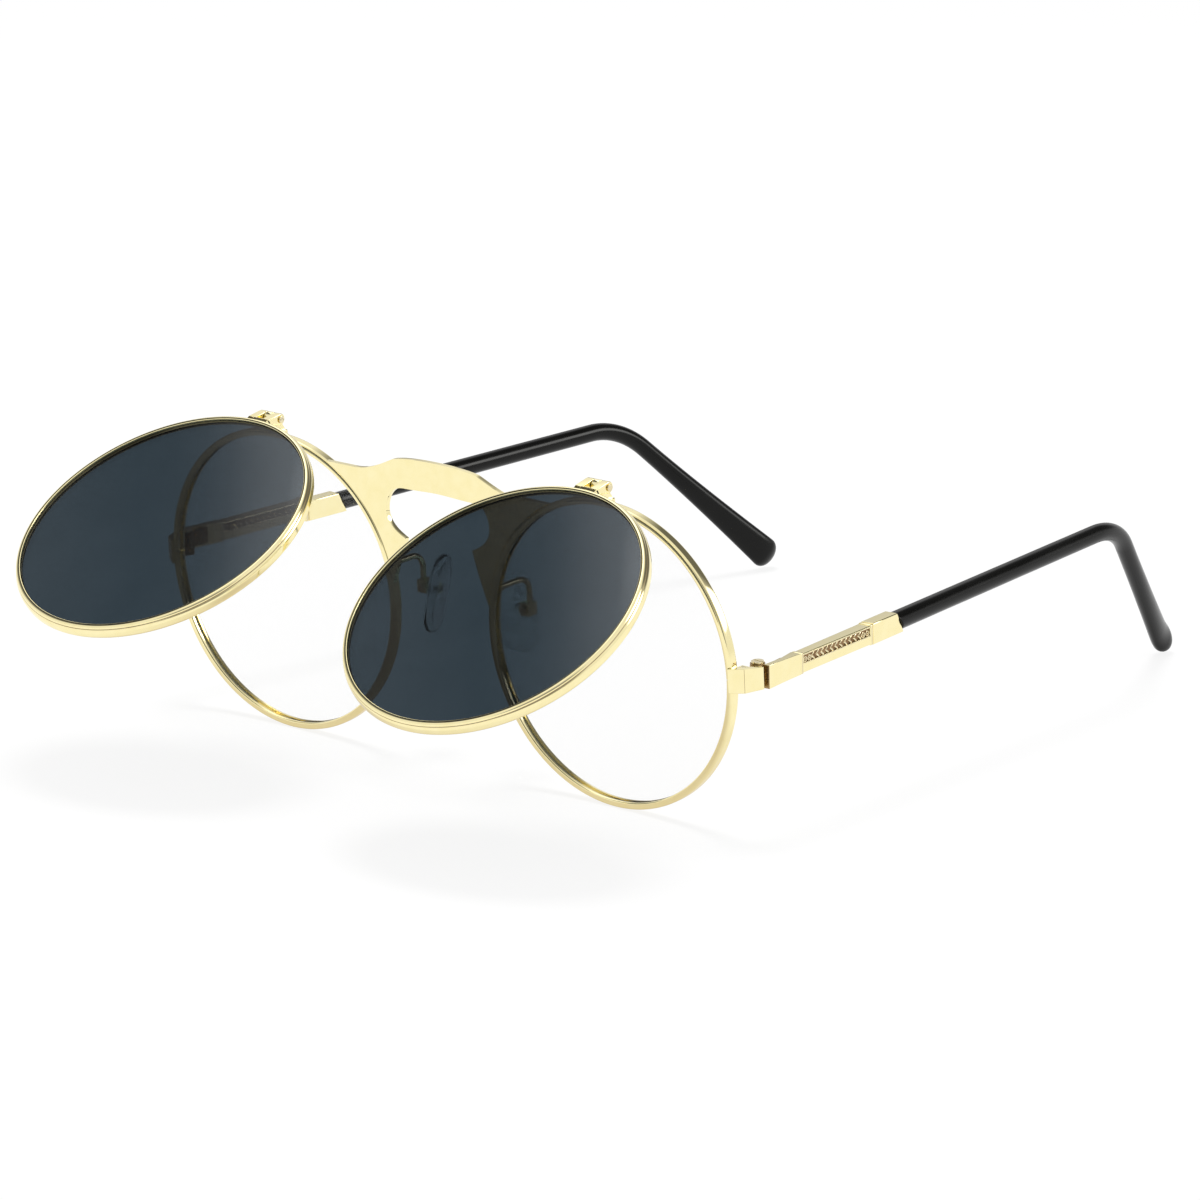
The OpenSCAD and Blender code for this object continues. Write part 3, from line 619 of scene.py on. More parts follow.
def draw_bridge():
    """The bridge plate, both halves."""
    bm = bmesh.new()
    bm.faces.new([bm.verts.new(point) for point in bridge_outline()])
    bmesh.ops.mirror(bm, geom=bm.verts[:] + bm.edges[:] + bm.faces[:], axis="X", merge_dist=1e-4)
    bmesh.ops.remove_doubles(bm, verts=bm.verts, dist=1e-4)
    bmesh.ops.recalc_face_normals(bm, faces=bm.faces)
    seam = [edge for edge in bm.edges if len(edge.link_faces) == 2]
    bmesh.ops.dissolve_edges(bm, edges=seam, use_verts=False)
    for i in range(DISH_CUTS):
        height = dish_from + (crown[1] - dish_from) * i / DISH_CUTS
        cut_across(bm, (0, 0, height), (0, 0, 1))
    thicken(bm, bm.faces[:], (0, bridge_thick, 0))
    bmesh.ops.translate(bm, verts=bm.verts, vec=(0, bridge_front, 0))
    for vert in bm.verts:
        vert.co.y -= dish_rise * max(0, vert.co.z - dish_from) ** 2
    return soften(bm, 0.1, least=40)


bridge = finish_piece(
    draw_bridge(), "bridge_plate", on_front(), "front", [GOLD], ["bridge"])
print("bridge:", [round(1000 * d, 1) for d in bridge.dimensions], "mm")

# %% [markdown]
# ## Flip hinges
# Three short knuckles on one pin carry each flip: the middle one stands on a saddle on top of the
# eye rim, and the outer two stand on the flip rim. A cheek is one outline, a rounded eye on a
# neck, extruded to the length of the knuckle. The pin is a turned rod, and its ends are domed
# over the outer knuckles.

# %% Flip hinges
knuckle_r = 1.0
knuckle_w = 1.5
knuckle_step = 1.6
saddle_half = 1.25
hinge_half = 2.35
axis_forward = 1.75
foot_h = 0.7
foot_sunk = 0.1
neck_h = 0.6
knuckle_depth = (-flip_forward - 0.5, -flip_forward + 0.8)


def add_cheek(bm, middle_x, outline):
    """A plate across X from an outline in Y and Z."""
    start = middle_x - knuckle_w / 2
    add_plate(bm, [(start, y, z) for y, z in outline], (knuckle_w, 0, 0))


def draw_bracket():
    """Saddle and middle knuckle, drawn round the middle of the eye rim."""
    bm = bmesh.new()
    half = rim_half - 0.05
    add_block(bm, (-saddle_half, -half, rim_r - 0.3), (saddle_half, half, rim_r + foot_h))
    eye = arc((-axis_forward, flip_axis_up), knuckle_r, 20, 240, 22)
    bottom, top = rim_r + foot_sunk, rim_r + foot_h
    add_cheek(bm, 0, [(half, bottom), (half, top), *eye, (-half, top), (-half, bottom)])
    return soften(bm, 0.16)


def draw_knuckles():
    """Outer knuckles, drawn round the hinge axis, with their foot on the flip rim."""
    bm = bmesh.new()
    top = flip_r - flip_axis_up
    front, back = knuckle_depth
    add_block(bm, (-hinge_half, front, top - 0.4), (hinge_half, back, top + foot_h))
    eye = arc((0, 0), knuckle_r, -60, 160, 22)
    bottom, neck = top + foot_sunk, top + neck_h
    outline = [*eye, (front, neck), (front, bottom), (back, bottom), (back, neck)]
    for end in (-1, 1):
        add_cheek(bm, end * knuckle_step, outline)
    return soften(bm, 0.16)


pin_r = 0.45
pin_head_r = 0.62
pin_head_h = 0.2


def draw_pin():
    """A rod along X with a domed head at each end."""
    bm = bmesh.new()
    quarter = Matrix.Rotation(math.pi / 2, 4, "Y")
    reach = hinge_half + 0.1
    add_rod(bm, pin_r, 2 * reach, quarter)
    for end in (-1, 1):
        middle = Matrix.Translation((end * (reach + pin_head_h / 2), 0, 0))
        add_rod(bm, pin_head_r, pin_head_h, middle @ quarter)
    return soften(bm, 0.1, segments=4)


def on_flip_axis(side):
    """The hinge axis of a flip, not turned up."""
    return on_joint(f"flip_{side}_swing", side)


pair("flip_saddle", draw_bracket, on_rim, "front", [GOLD], ["flip_bracket"])
pair("flip_eye", draw_knuckles, on_flip, "flip", [GOLD], ["flip_knuckle"])
pair("flip_rod", draw_pin, on_flip_axis, "front", [SCREW], ["flip_pin"])

# %% [markdown]
# ## End pieces
# At each outer end a strip is bent in two flat facets from the front of the rim back to the
# temple hinge. From above it is one outline of six corners. It is extruded to its height, and its
# rear corners are drawn together a little, because the strip narrows to the height of the temple.
# The narrow face that the bevel makes along the bend takes the darker gold, a painted shade line
# that draws the bend.

# %% End pieces
end_half = 2.1
end_rear_half = 1.9
end_middle = 0.6
bend_line = 0.04
END_OUTLINE = [
    (62.55, -1.54), (64.8, 0.0), (66.35, 3.1), (65.35, 3.1), (64.2, 0.8), (61.95, -0.74)]


def draw_end_piece():
    """The bent strip, narrower at its rear."""
    bm = bmesh.new()
    add_plate(bm, [(x, y, -end_half) for x, y in END_OUTLINE], (0, 0, 2 * end_half))
    rear = [v for v in bm.verts if v.co.y > 3]
    bmesh.ops.scale(bm, verts=rear, vec=(1, 1, end_rear_half / end_half))
    soften(bm, 0.1)
    elbow = Vector(END_OUTLINE[1])
    # The bevelled face along the bend takes the darker gold: a painted shade line.
    give_second(bm, lambda p: (p.xy - elbow).length < bend_line and abs(p.z) < end_half - 0.1)
    bmesh.ops.translate(bm, verts=bm.verts, vec=(0, 0, end_middle))
    return bm


pair("end_strip", draw_end_piece, on_front, "front", [GOLD, SHADE_PAINTED_GOLD], ["end_piece"])

# %% [markdown]
# ## Small machined pieces
# Screws, hinge leaves, rim locks and pad boxes are already right as solids. They only lack the
# rounded edges of real metal. So each is a copy of its CAD mesh: the loose triangles are merged,
# flat areas are dissolved into single faces, and the sharp edges are bevelled.


# %% Small machined pieces
def rounded_copy(node, name, body, finishes, rounding):
    """A copy of a CAD node with its sharp edges rounded."""
    bm = bmesh.new()
    bm.from_mesh(frame["nodes"][node].data)
    bmesh.ops.scale(bm, verts=bm.verts, vec=(1000, 1000, 1000))
    bmesh.ops.remove_doubles(bm, verts=bm.verts, dist=1e-3)
    bmesh.ops.dissolve_limit(
        bm, angle_limit=math.radians(1), verts=bm.verts[:], edges=bm.edges[:])
    soften(bm, rounding, segments=2, least=40)
    return finish_piece(bm, name, MM, body, finishes, [node])


# The hinge leaves take the darker gold as painted shade inside the hinge.
SMALL = {
    "rim_lock": ("lock_lugs", "front", "gold", GOLD, 0.08),
    "rim_lock_screw": ("lock_bolt", "front", "screw", SCREW, 0.05),
    "front_hinge_leaf": ("front_leaf", "front", "gold", SHADE_PAINTED_GOLD, 0.06),
    "temple_hinge_screw": ("hinge_bolt", "front", "screw", SCREW, 0.06),
    "temple_hinge_leaf": ("temple_leaf", "temple", "gold", SHADE_PAINTED_GOLD, 0.06),
    "pad_box": ("pad_cage", "front", "gold", GOLD, 0.08),
    "pad_screw": ("pad_bolt", "front", "screw", SCREW, 0.05)}
for node, (stem, body, slot, finish, rounding) in SMALL.items():
    for side in SIDES:
        small = rounded_copy(
            f"{node}_{side}", f"{stem}_{side}", body_at(side, body), [finish], rounding)
    print(stem, len(small.data.polygons), "faces")

# %% [markdown]
# ## Temples
# A temple starts as a flat plate at the hinge. Behind it come a small ornamented barrel, a plain
# ferrule with a slanted end, and the long black sleeve that bends down behind the ear. All four
# lie on one line that turns in and drops a little from the hinge, so they share one frame: Y runs
# along the temple, X points outwards.

# %% Temple frame and plate
toe_in = math.radians(4.9)
droop = math.radians(1.8)
plate_line = 1.95
plate_start = -0.35
plate_end = 8.4
plate_thick = 1.1
plate_half = 2.0
widen_from = 4.4
barrel_half = 1.8
barrel_w = 2.5
flush = 0.58


def on_temple(side):
    """The middle line of a temple, from its hinge."""
    turned = Matrix.Rotation(toe_in, 4, "Z") @ Matrix.Rotation(-droop, 4, "X")
    return (on_joint(f"temple_{side}_fold", side) @ turned
            @ Matrix.Translation((plate_line, 0, 0)))


def draw_temple_plate():
    """The flat plate, lower and wider at its rear, its front end in the darker gold as painted
    shade.
    """
    bm = bmesh.new()
    outline = [(plate_start, -plate_half), (plate_end, -barrel_half), (plate_end, barrel_half),
               (plate_start, plate_half)]
    add_plate(bm, [(-plate_thick / 2, y, z) for y, z in outline], (plate_thick, 0, 0))
    cut_across(bm, (0, widen_from, 0), (0, 1, 0))
    for vert in bm.verts:
        if vert.co.y > plate_end - 0.1:
            vert.co.x = flush * barrel_w / 2 if vert.co.x > 0 else -barrel_w / 2
    soften(bm, 0.08)
    # The front end faces into the hinge gap and takes the darker gold as painted shade.
    give_second(bm, lambda p: p.y < plate_start + 0.03)
    return bm


pair(
    "temple_plate", draw_temple_plate, on_temple, "temple", [GOLD, SHADE_PAINTED_GOLD],
    ["temple_bar"])

# %% [markdown]
# ## Ornamented barrel
# The barrel is a flat-sided bar with round corners and a bead at each end. On both of its sides a
# dark sunk strip holds a row of small leaves between two fine wires, with a curl at each end. The
# bar is a block with its long edges bevelled. The strip is a face of that bar, bisected to
# length, inset and pushed in, which is quicker and cleaner than cutting it with a second solid.
# The leaves and curls are separate little bodies set into the strip, as cast ornament looks.
# Last, the outer half of the barrel is drawn in towards its front, so that it runs on flush from
# the plate.

# %% Barrel
barrel_end = 28.8
bar_half = 1.65
bar_round = 0.25
bead_len = 0.8
strip_low = -0.12
strip_high = bar_half - bar_round
strip_deep = 0.35
strip_short = 0.7
leaf_inset = 2.9


def add_bar(bm, start, end, width, height):
    """A bar along Y: a block with its four long edges rounded."""
    verts = add_block(bm, (-width / 2, start, -height / 2), (width / 2, end, height / 2))
    edges = {edge for vert in verts for edge in vert.link_edges}
    along = [edge for edge in edges if abs(edge.verts[0].co.y - edge.verts[1].co.y) > 0.1]
    bmesh.ops.bevel(
        bm, geom=along, offset=bar_round, segments=6, profile=0.5, affect="EDGES", material=-1)


def sink_strips(bm, start, end):
    """Pushes a strip into both sides of a bar, and gives it the second finish."""
    cut_across(bm, (0, 0, strip_low), (0, 0, 1))
    for along in (start, end):
        cut_across(bm, (0, along, 0), (0, 1, 0))
    for face in bm.faces[:]:
        middle = face.calc_center_median()
        flat = abs(face.normal.x) > 0.999 and strip_low < middle.z < strip_high
        if flat and start < middle.y < end:
            walls = bmesh.ops.inset_region(
                bm, faces=[face], thickness=0.02, depth=-strip_deep, use_even_offset=True)["faces"]
            for sunk in [face, *walls]:
                sunk.material_index = 1


def draw_barrel():
    """Bar with sunk strips, end beads and ornament."""
    bm = bmesh.new()
    start, end = plate_end + 0.03, barrel_end - 0.03
    add_bar(bm, start + bead_len / 2, end - bead_len / 2, barrel_w, 2 * bar_half)
    bmesh.ops.recalc_face_normals(bm, faces=bm.faces)
    sink_strips(bm, start + strip_short, end - strip_short)
    beads = bmesh.new()
    for from_y in (start, end - bead_len):
        add_bar(beads, from_y, from_y + bead_len, barrel_w + 0.06, 2 * barrel_half)
    soften(beads, 0.3, segments=4)
    plain = len(beads.faces)
    add_leaves(beads, start + strip_short + leaf_inset, end - strip_short - leaf_inset)
    add_frame(beads, start + strip_short, end - strip_short)
    for face in beads.faces[:][plain:]:
        face.material_index = 2
    take_in(bm, beads)
    for vert in bm.verts:
        if vert.co.x > 0:
            along = (vert.co.y - plate_end) / (barrel_end - plate_end)
            vert.co.x *= flush + (1 - flush) * along
    return bm


# %% [markdown]
# The leaves lie in pairs, like an ear of wheat: each is a small ball, drawn long and thin and
# tilted away from the middle line. The wires are thin rods along both lips of the strip, and each
# curl is a ring spun from a small circle, with a bead in its eye.

# %% Leaves, wires and curls
leaf_pairs = 11
leaf_size = (0.32, 0.64, 0.24)
upper_size = 0.72
leaf_tilt = math.radians(38)
leaf_out = 0.88
leaf_row = 0.36
strip_middle = (strip_low + strip_high) / 2
wire_r = 0.13
wire_out = 1.14
curl_out = 0.94
curl_insets = (0.7, 1.9)
curl_z = strip_middle - 0.2
curl_r = 0.42
curl_wire = 0.12
curl_eye = 0.16


def add_leaves(bm, first, last):
    """Pairs of leaves along both strips."""
    for face_side in (-1, 1):
        for i in range(leaf_pairs):
            along = first + (last - first) * i / (leaf_pairs - 1)
            for up in (-1, 1):
                row = strip_middle + up * leaf_row
                place = Matrix.Translation((face_side * leaf_out, along, row))
                turned = Matrix.Rotation(up * leaf_tilt, 4, "X")
                bmesh.ops.create_uvsphere(
                    bm, u_segments=10, v_segments=6, radius=1 if up < 0 else upper_size,
                    matrix=place @ turned @ Matrix.Diagonal((*leaf_size, 1)))


def add_frame(bm, first, last):
    """Wires along the strips and a curl at each end."""
    quarter = Matrix.Rotation(math.pi / 2, 4, "X")
    middle, length = (first + last) / 2, last - first
    for face_side in (-1, 1):
        for z in (strip_high, strip_low):
            place = Matrix.Translation((face_side * wire_out, middle, z)) @ quarter
            add_rod(bm, wire_r, length, place, 14)
        near, far = curl_insets
        for along in (first + near, first + far, last - far, last - near):
            add_curl(bm, Matrix.Translation((face_side * curl_out, along, curl_z)))


def add_curl(bm, place):
    """A ring about X with a bead in its eye."""
    known = set(bm.verts)
    made = bmesh.ops.create_circle(
        bm, segments=10, radius=curl_wire,
        matrix=Matrix.Translation((0, curl_r, 0)))["verts"]
    edges = list({edge for vert in made for edge in vert.link_edges})
    bmesh.ops.spin(
        bm, geom=made + edges, cent=(0, 0, 0), axis=(1, 0, 0), dvec=(0, 0, 0),
        angle=math.tau, steps=20, use_merge=True)
    bmesh.ops.create_uvsphere(bm, u_segments=10, v_segments=6, radius=curl_eye)
    new = [vert for vert in bm.verts if vert not in known]
    bmesh.ops.transform(bm, matrix=place, verts=new)


pair(
    "ornament_barrel", draw_barrel, on_temple, "temple", [GOLD, PATINA, SCREW],
    ["temple_ornament"])

# %% [markdown]
# ## Ferrule
# The ferrule is the same kind of bar, plain and polished. Its end is cut on a slant by the bisect
# operator, which drops what lies behind the plane, and the hole is filled again.

# %% Ferrule
ferrule_end = 37.8
ferrule_half = 1.85
slant = math.radians(27)
SLANT_FACING = (0, math.cos(slant), math.sin(slant))


def slant_cut(bm, gap, keep_front):
    """Cuts on the slant between ferrule and sleeve, and closes the cut."""
    cut_across(bm, (0, ferrule_end + gap, -ferrule_half), SLANT_FACING,
               clear_outer=keep_front, clear_inner=not keep_front)
    close_holes(bm)


def draw_ferrule():
    """A bar with a slanted end."""
    bm = bmesh.new()
    add_bar(bm, barrel_end, ferrule_end + 1, barrel_w, 2 * ferrule_half)
    slant_cut(bm, 0, True)
    return soften(bm, 0.1, least=40)


pair("ferrule_cap", draw_ferrule, on_temple, "temple", [GOLD], ["temple_ferrule"])

# %% [markdown]
# ## Sleeve
# The sleeve is a tube that runs straight, bends down behind the ear and widens to a paddle whose
# end turns outwards. It grows from one ring: extruded along the straight, spun through the bend,
# then extruded in many small steps whose matrices widen the ring one way, push it out and close
# it in a rounded end. A curve with a bevel would also give a tube, but not the paddle.

# %% Sleeve
sleeve_r = 1.66
neck_r = 1.6
bend_r = 17.0
bend_angle = math.radians(46)
bend_corner = 106.5
bend_roll = math.radians(17)
drop_len = 34.6
paddle_w = 5.7
paddle_t = 3.0
paddle_turn = math.radians(25)
end_dome = 2.95
flare_len = 4.5
flare_x = 1.2
flare_out = 0.5
bend_start = bend_corner - bend_r * math.tan(bend_angle / 2)
sleeve_start = ferrule_end - 4
DROP_STEPS = 24
DOME_STEPS = 8
dome_step = math.radians(10.8)


def carry(bm, edges, move):
    """Extrudes a ring of edges, moves the new ring and returns its edges."""
    made = bmesh.ops.extrude_edge_only(bm, edges=edges)["geom"]
    verts = of_kind(made, bmesh.types.BMVert)
    bmesh.ops.transform(bm, matrix=move, verts=verts)
    fresh = set(verts)
    return [edge for edge in of_kind(made, bmesh.types.BMEdge) if set(edge.verts) <= fresh]


def bend(bm, edges, middle, angle, steps):
    """Spins a ring of edges about an axis along X and returns the last ring."""
    verts = list({vert for edge in edges for vert in edge.verts})
    made = bmesh.ops.spin(
        bm, geom=verts + edges, cent=middle, axis=(1, 0, 0), dvec=(0, 0, 0), angle=angle,
        steps=steps, use_merge=False)["geom_last"]
    return of_kind(made, bmesh.types.BMEdge)


def foot_rings():
    """Matrices of the ring at the end of the bend, and of those of the drop and its paddle."""
    out = Vector((0, math.sin(bend_angle), math.cos(bend_angle)))
    down = Vector((0, math.cos(bend_angle), -math.sin(bend_angle)))
    start = Vector((0, bend_start, -bend_r)) + bend_r * out
    base = Matrix((Vector((1, 0, 0)), out, down)).transposed().to_4x4()
    turn = Matrix.Rotation(paddle_turn, 4, "Z")
    outwards = flare_x * Vector((1, 0, 0)) + flare_out * out

    def ring(along, size):
        """A ring at a distance along the drop, widened by where it is and scaled in all."""
        share = min(along / drop_len, 1)
        thick = 1 + (paddle_t / (2 * neck_r) - 1) * share
        wide = 1 + (paddle_w / (2 * neck_r) - 1) * share ** 1.6
        flare = max(0, (along - drop_len - end_dome) / flare_len + 1) ** 2
        widen = turn @ Matrix.Diagonal((thick * size, wide * size, 1, 1)) @ turn.inverted()
        return Matrix.Translation(start + along * down + flare * outwards) @ base @ widen

    rings = [ring(drop_len * i / DROP_STEPS, 1) for i in range(1, DROP_STEPS + 1)]
    for i in range(1, DOME_STEPS + 1):
        dome = i * dome_step
        rings.append(ring(drop_len + end_dome * math.sin(dome), math.cos(dome)))
    return Matrix.Translation(start) @ base, rings


def draw_sleeve():
    """The whole sleeve, trimmed on the slant at its start."""
    bm = bmesh.new()
    upright = Matrix.Translation((0, sleeve_start, 0)) @ Matrix.Rotation(math.pi / 2, 4, "X")
    bmesh.ops.create_circle(bm, segments=48, radius=sleeve_r, matrix=upright)
    taper = neck_r / sleeve_r
    ring = carry(bm, bm.edges[:], Matrix.Translation((0, bend_start - sleeve_start, 0))
                 @ Matrix.Diagonal((taper, 1, taper, 1)))
    ring = bend(bm, ring, (0, bend_start, -bend_r), -bend_angle, 28)
    last, rings = foot_rings()
    for place in rings:
        ring = carry(bm, ring, place @ last.inverted())
        last = place
    bmesh.ops.holes_fill(bm, edges=ring)
    roll = Matrix.Rotation(bend_roll, 3, "Y")
    bmesh.ops.rotate(bm, verts=bm.verts, cent=(0, 0, 0), matrix=roll)
    slant_cut(bm, 0.03, False)
    return soften(bm, 0.18, least=50)


pair("ear_sleeve", draw_sleeve, on_temple, "temple", [SLEEVE], ["temple_sleeve"])

# %% [markdown]
# ## Nose pads and their arms
# A bent wire behind each rim carries a small box, and in it a soft clear pad rocks on a screw.
# The wire is a ring carried back, bent down and carried to the box, with a drop of solder at its
# foot. The pad starts as a disc stretched to an oval, gets its thickness, and its edges are
# rounded almost to the middle so that it looks moulded.

# %% Pad arms
arm_x = 11.965
arm_z = 6.6
arm_r = 0.5
arm_bend = 2.5
arm_back = 8.0
box_top = 2.1


def draw_pad_arm():
    """Wire from the back of the rim, bent down to the pad box."""
    bm = bmesh.new()
    foot_y = rim_half - 0.05
    upright = Matrix.Translation((arm_x, foot_y, arm_z)) @ Matrix.Rotation(math.pi / 2, 4, "X")
    bmesh.ops.create_circle(bm, segments=20, radius=arm_r, matrix=upright)
    turn_y = arm_back - arm_bend
    ring = carry(bm, bm.edges[:], Matrix.Translation((0, turn_y - foot_y, 0)))
    ring = bend(bm, ring, (arm_x, turn_y, arm_z - arm_bend), -math.pi / 2, 14)
    carry(bm, ring, Matrix.Translation((0, 0, box_top - arm_z + arm_bend)))
    close_holes(bm)
    solder = Matrix.Translation((arm_x, rim_half, arm_z)) @ Matrix.Diagonal((0.75, 0.5, 0.75, 1))
    bmesh.ops.create_uvsphere(bm, u_segments=20, v_segments=12, radius=1, matrix=solder)
    return bm


pair("pad_wire", draw_pad_arm, on_front, "front", [GOLD], ["pad_arm"])

# %% Nose pads
pad_half = 7.0
pad_side_r = 3.5
pad_thick = 1.8
pad_out = 2.4
pad_down = 1.0
pad_lean = math.radians(12)
pad_splay = math.radians(20)
stem_half = (0.58, 0.5)
stem_in = 0.6


def draw_pad():
    """An oval pad with a stem that reaches into the box."""
    bm = bmesh.new()
    facing = Matrix.Translation((-pad_thick / 2, 0, 0)) @ Matrix.Rotation(math.pi / 2, 4, "Y")
    bmesh.ops.create_circle(bm, cap_ends=True, segments=48, radius=pad_side_r, matrix=facing)
    stretch_by = pad_half - pad_side_r
    for way in (-1, 1):
        end = [vert for vert in bm.verts if way * vert.co.z > 1e-4]
        bmesh.ops.translate(bm, verts=end, vec=(0, 0, way * stretch_by))
    thicken(bm, bm.faces[:], (pad_thick, 0, 0))
    soften(bm, 0.85, segments=6)
    tilt = (Matrix.Translation((-pad_out, 0, -pad_down)) @ Matrix.Rotation(-pad_splay, 4, "Z")
            @ Matrix.Rotation(-pad_lean, 4, "Y"))
    bmesh.ops.transform(bm, matrix=tilt, verts=bm.verts)
    stem = bmesh.new()
    half_y, half_z = stem_half
    add_block(stem, (-pad_out, -half_y, -half_z), (stem_in, half_y, half_z))
    soften(stem, 0.2)
    take_in(bm, stem)
    return bm


def on_pad(side):
    """The screw that a pad rocks on."""
    return on_joint(f"nose_pad_{side}_rock", side)


pair("soft_pad", draw_pad, on_pad, "pad", [SILICONE], ["nose_pad"])

# %% [markdown]
# ## Table, light and camera
# The photograph is a plain product shot: white all round, a large soft light overhead, and pale
# shadows. The floor is mostly its own white to the camera, with enough plain diffuse left to keep
# the shadows. Metal behind a dark lens stands in its shade, so it mirrors a dimmer and warmer
# table and sky, and what is mirrored from right under the front is a little duller too.

# %% Floor
WHITE = (1, 1, 1, 1)
CLOTH = (0.93, 0.93, 0.93, 1)
DIM_TONE = (0.85, 0.60, 0.60, 1)
SHADE_TONE = (0.74, 0.68, 0.62, 1)
SHADE_MIDDLE = (0.0, -0.055, 0.0)
SHADE_SIZE = (0.10, 0.06, 1.0)
glow_share = 0.8
glow_strength = 1.05


def add_math(tree, operation, first, second, **options):
    """One number from two."""
    return add_node(
        tree, "Math", {0: first, 1: second}, operation=operation, **options).outputs["Value"]


def add_vector(tree, operation, *inputs):
    """The outputs of a step with vectors."""
    return add_node(
        tree, "VectorMath", dict(enumerate(inputs)), operation=operation).outputs


def add_seen(tree):
    """One where a ray shows the background: straight, mirrored or through glass."""
    ray = add_node(tree, "LightPath", {}).outputs
    seen = add_math(tree, "MAXIMUM", ray["Is Camera Ray"], ray["Is Glossy Ray"])
    return add_math(tree, "MAXIMUM", seen, ray["Is Transmission Ray"])


def add_dimmed(tree, bright):
    """The dimmer, warmer table and sky that metal behind a dark lens mirrors."""
    ray = add_node(tree, "LightPath", {}).outputs
    behind = add_math(
        tree, "MULTIPLY", ray["Is Reflection Ray"], ray["Transmission Depth"], use_clamp=True)
    return add_mix(tree, behind, bright, DIM_TONE, "MULTIPLY")


def add_shaded(tree, bright):
    """The duller, warmer table that metal mirrors from right under the front."""
    place = add_node(tree, "TexCoord", {}).outputs["Object"]
    offset = add_vector(tree, "SUBTRACT", place, SHADE_MIDDLE)["Vector"]
    oval = add_vector(tree, "DIVIDE", offset, SHADE_SIZE)["Vector"]
    away = add_vector(tree, "LENGTH", oval)["Value"]
    near = add_node(tree, "MapRange", {"Value": away, "From Min": 1.0, "From Max": 0.5})
    ray = add_node(tree, "LightPath", {}).outputs
    under = add_math(tree, "MULTIPLY", near.outputs["Result"], ray["Is Reflection Ray"])
    return add_mix(tree, under, bright, SHADE_TONE)


def floor_finish():
    """White to the eye, with a share of plain diffuse that keeps the shadows."""
    material, tree, _ = start_finish("white_table")
    tree.nodes.clear()
    cloth = add_node(tree, "BsdfDiffuse", {"Color": CLOTH})
    tone = add_dimmed(tree, add_shaded(tree, WHITE))
    glow = add_node(tree, "Emission", {"Color": tone, "Strength": glow_strength})
    share = add_math(tree, "MULTIPLY", add_seen(tree), glow_share)
    mix = add_node(tree, "MixShader", {
        "Fac": share, 1: cloth.outputs["BSDF"], 2: glow.outputs["Emission"]})
    add_node(tree, "OutputMaterial", {"Surface": mix.outputs["Shader"]})
    return material


bm = bmesh.new()
bmesh.ops.create_grid(bm, x_segments=1, y_segments=1, size=6)
floor_mesh = bpy.data.meshes.new("table")
bm.to_mesh(floor_mesh)
bm.free()
floor_mesh.materials.append(floor_finish())
floor = bpy.data.objects.new("table", floor_mesh)
bpy.context.scene.collection.objects.link(floor)
floor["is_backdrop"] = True
print("table:", floor.dimensions[:])

# %% [markdown]
# The sky is white to the camera and even to the pieces. Gloss sees more in it, as it would in a
# studio: a few dark patches that give metal its lines and black plastic its depth, one small
# bright patch that draws a streak along the sleeves, and a patch for the raised lenses, which is
# dark where their tint has to stay deep and grows brighter to one side.

# %% Sky and lamp
EVEN = (0.62, 0.62, 0.62, 1)
GLOSS_TONE = (0.9, 0.9, 0.9, 1)
GLOSS_PATCHES = [
    ((-0.65, 0.757, 0.06), 0.94, 0.995, (0.42, 0.41, 0.40)),
    ((0.1, 0.80, 0.59), 0.86, 0.95, (0.15, 0.15, 0.15)),
    ((0.633, -0.732, 0.252), 0.85, 0.95, (0.3, 0.3, 0.3)),
    ((0.667, 0.621, 0.413), 0.972, 0.992, (7.0, 7.0, 6.8))]
LENS_PATCH = (-0.65, 0.07, 0.757)
LENS_SLOPE = (1.0, 0.42, 0.0)
LENS_STOPS = [
    (0.0, 0.3), (0.3, 0.14), (0.5, 0.02), (0.58, 0.05), (0.637, 0.12), (0.69, 0.28),
    (0.773, 0.75), (0.83, 1.05), (0.865, 1.9), (1.0, 1.9)]


def add_patch(tree, facing, least, most):
    """Rises from zero to one as the direction of a ray comes near to another."""
    outward = add_node(tree, "TexCoord", {}).outputs["Generated"]
    towards = add_vector(tree, "DOT_PRODUCT", outward, facing)["Value"]
    return add_node(tree, "MapRange", {
        "Value": towards, "From Min": least, "From Max": most}).outputs["Result"]


def add_lens_tones(tree):
    """Greys along the slope that the raised lenses mirror."""
    bands = add_node(tree, "ValToRGB", {"Fac": add_patch(tree, LENS_SLOPE, -0.8, -0.5)})
    while len(bands.color_ramp.elements) < len(LENS_STOPS):
        bands.color_ramp.elements.new(0.5)
    for element, (at, grey) in zip(bands.color_ramp.elements, LENS_STOPS):
        element.position = at
        element.color = (grey, grey, grey, 1)
    return bands.outputs["Color"]


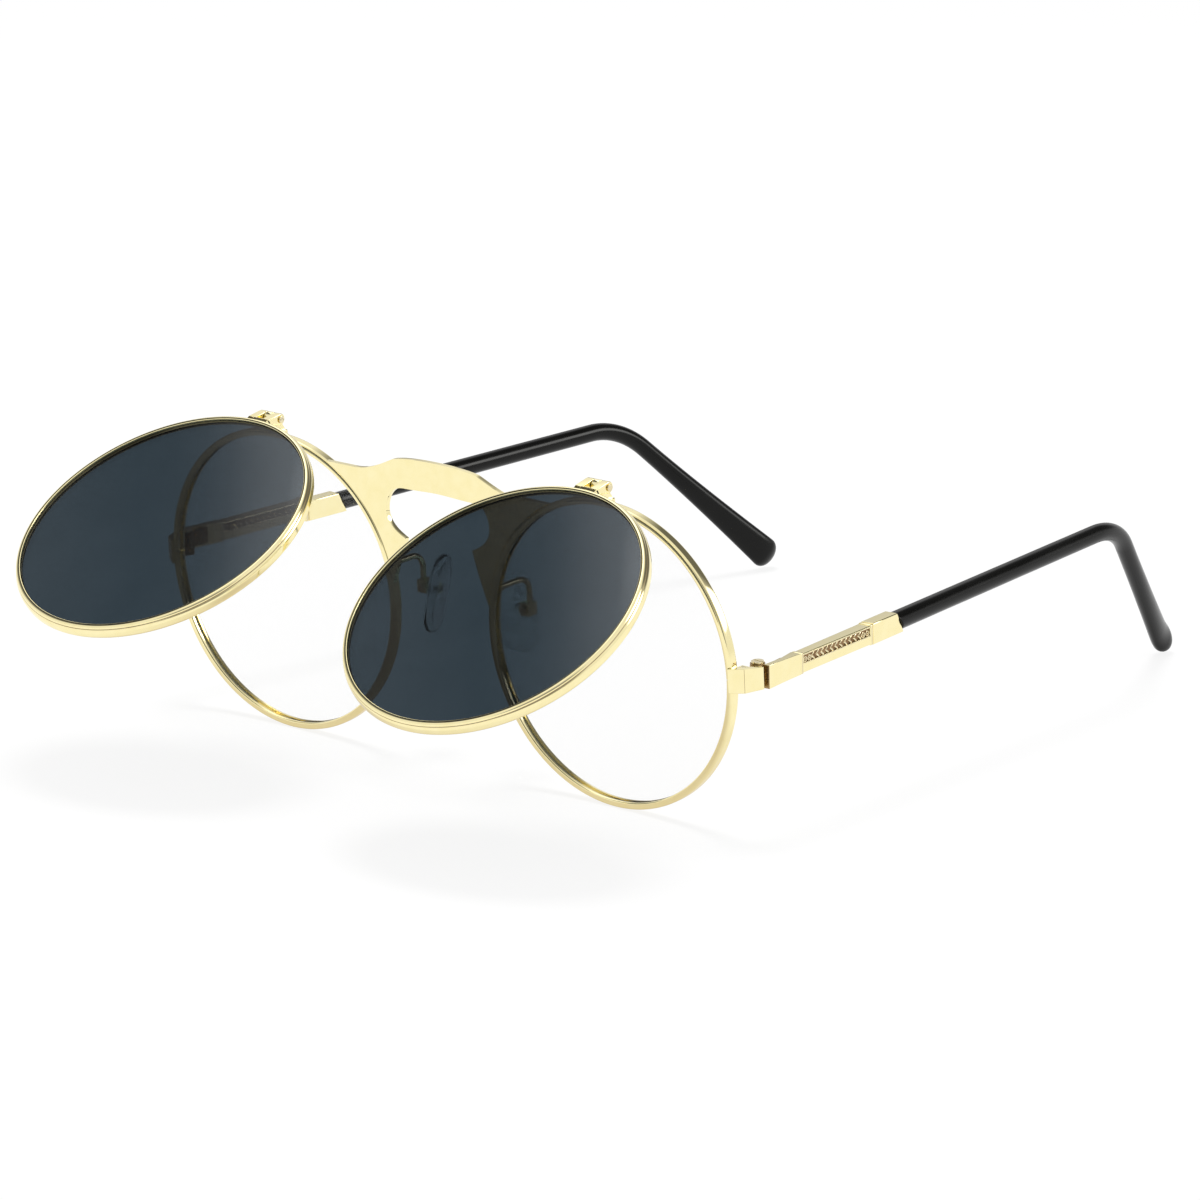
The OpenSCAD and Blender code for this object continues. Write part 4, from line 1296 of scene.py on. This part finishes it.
def make_sky():
    """White for the camera, with patches for gloss, even for the rest."""
    world = bpy.data.worlds.new("studio")
    bpy.context.scene.world = world
    world.use_nodes = True
    tree = world.node_tree
    gloss = GLOSS_TONE
    for facing, least, most, tone in GLOSS_PATCHES:
        gloss = add_mix(tree, add_patch(tree, facing, least, most), gloss, (*tone, 1))
    at_lens = add_patch(tree, LENS_PATCH, 0.88, 0.95)
    gloss = add_mix(tree, at_lens, gloss, add_lens_tones(tree))
    ray = add_node(tree, "LightPath", {}).outputs
    light = add_mix(tree, ray["Is Glossy Ray"], EVEN, gloss)
    through = add_math(tree, "MAXIMUM", ray["Is Camera Ray"], ray["Is Transmission Ray"])
    seen = add_mix(tree, through, light, WHITE)
    plug(tree, tree.nodes["Background"], {"Color": add_dimmed(tree, seen)})


make_sky()
lamp_data = bpy.data.lights.new("overhead", "AREA")
lamp_data.shape = "DISK"
lamp_data.size = 0.36
lamp_data.energy = 5.0
lamp = bpy.data.objects.new("overhead", lamp_data)
lamp.location = (-0.14, 0.1, 1.1)
lamp.visible_glossy = False
bpy.context.scene.collection.objects.link(lamp)
print("lamp:", lamp_data.size, "m across,", lamp_data.energy, "W")

# %% [markdown]
# The camera stands where the photograph was taken from. Its place, its direction and its lens
# come from fitting the circles of the rims, the line of the hinges and both temples to the
# photograph.

# %% Camera
camera_data = bpy.data.cameras.new("photo_view")
camera_data.sensor_width = 36
camera_data.lens = 196.1
camera = bpy.data.objects.new("photo_view", camera_data)
camera.matrix_world = Matrix((
    (0.7554, -0.1677, 0.6334, 0.71167),
    (0.6552, 0.1878, -0.7317, -0.82793),
    (0.0038, 0.9678, 0.2517, 0.30439),
    (0, 0, 0, 1)))
camera_data.clip_start = 0.05
camera_data.clip_end = 50
bpy.context.scene.collection.objects.link(camera)
bpy.context.scene.camera = camera
bpy.context.scene.view_settings.view_transform = "Standard"
print("camera:", [round(c, 3) for c in camera.location])

# %% [markdown]
# ## Last look
# Both boxes are printed in millimetres: that of the CAD part, and that of the dressed part.
# The dressed part has to stay inside the box of the CAD part, give or take a little.

# %% Sizes and finish
visual_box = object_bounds()
boxes = {
    "cad": [list(corner) for corner in cad_box],
    "visual": [list(corner) for corner in visual_box]}
for name, (lowest, highest) in boxes.items():
    print(name, [round(1000 * (b - a), 2) for a, b in zip(lowest, highest)], "mm")
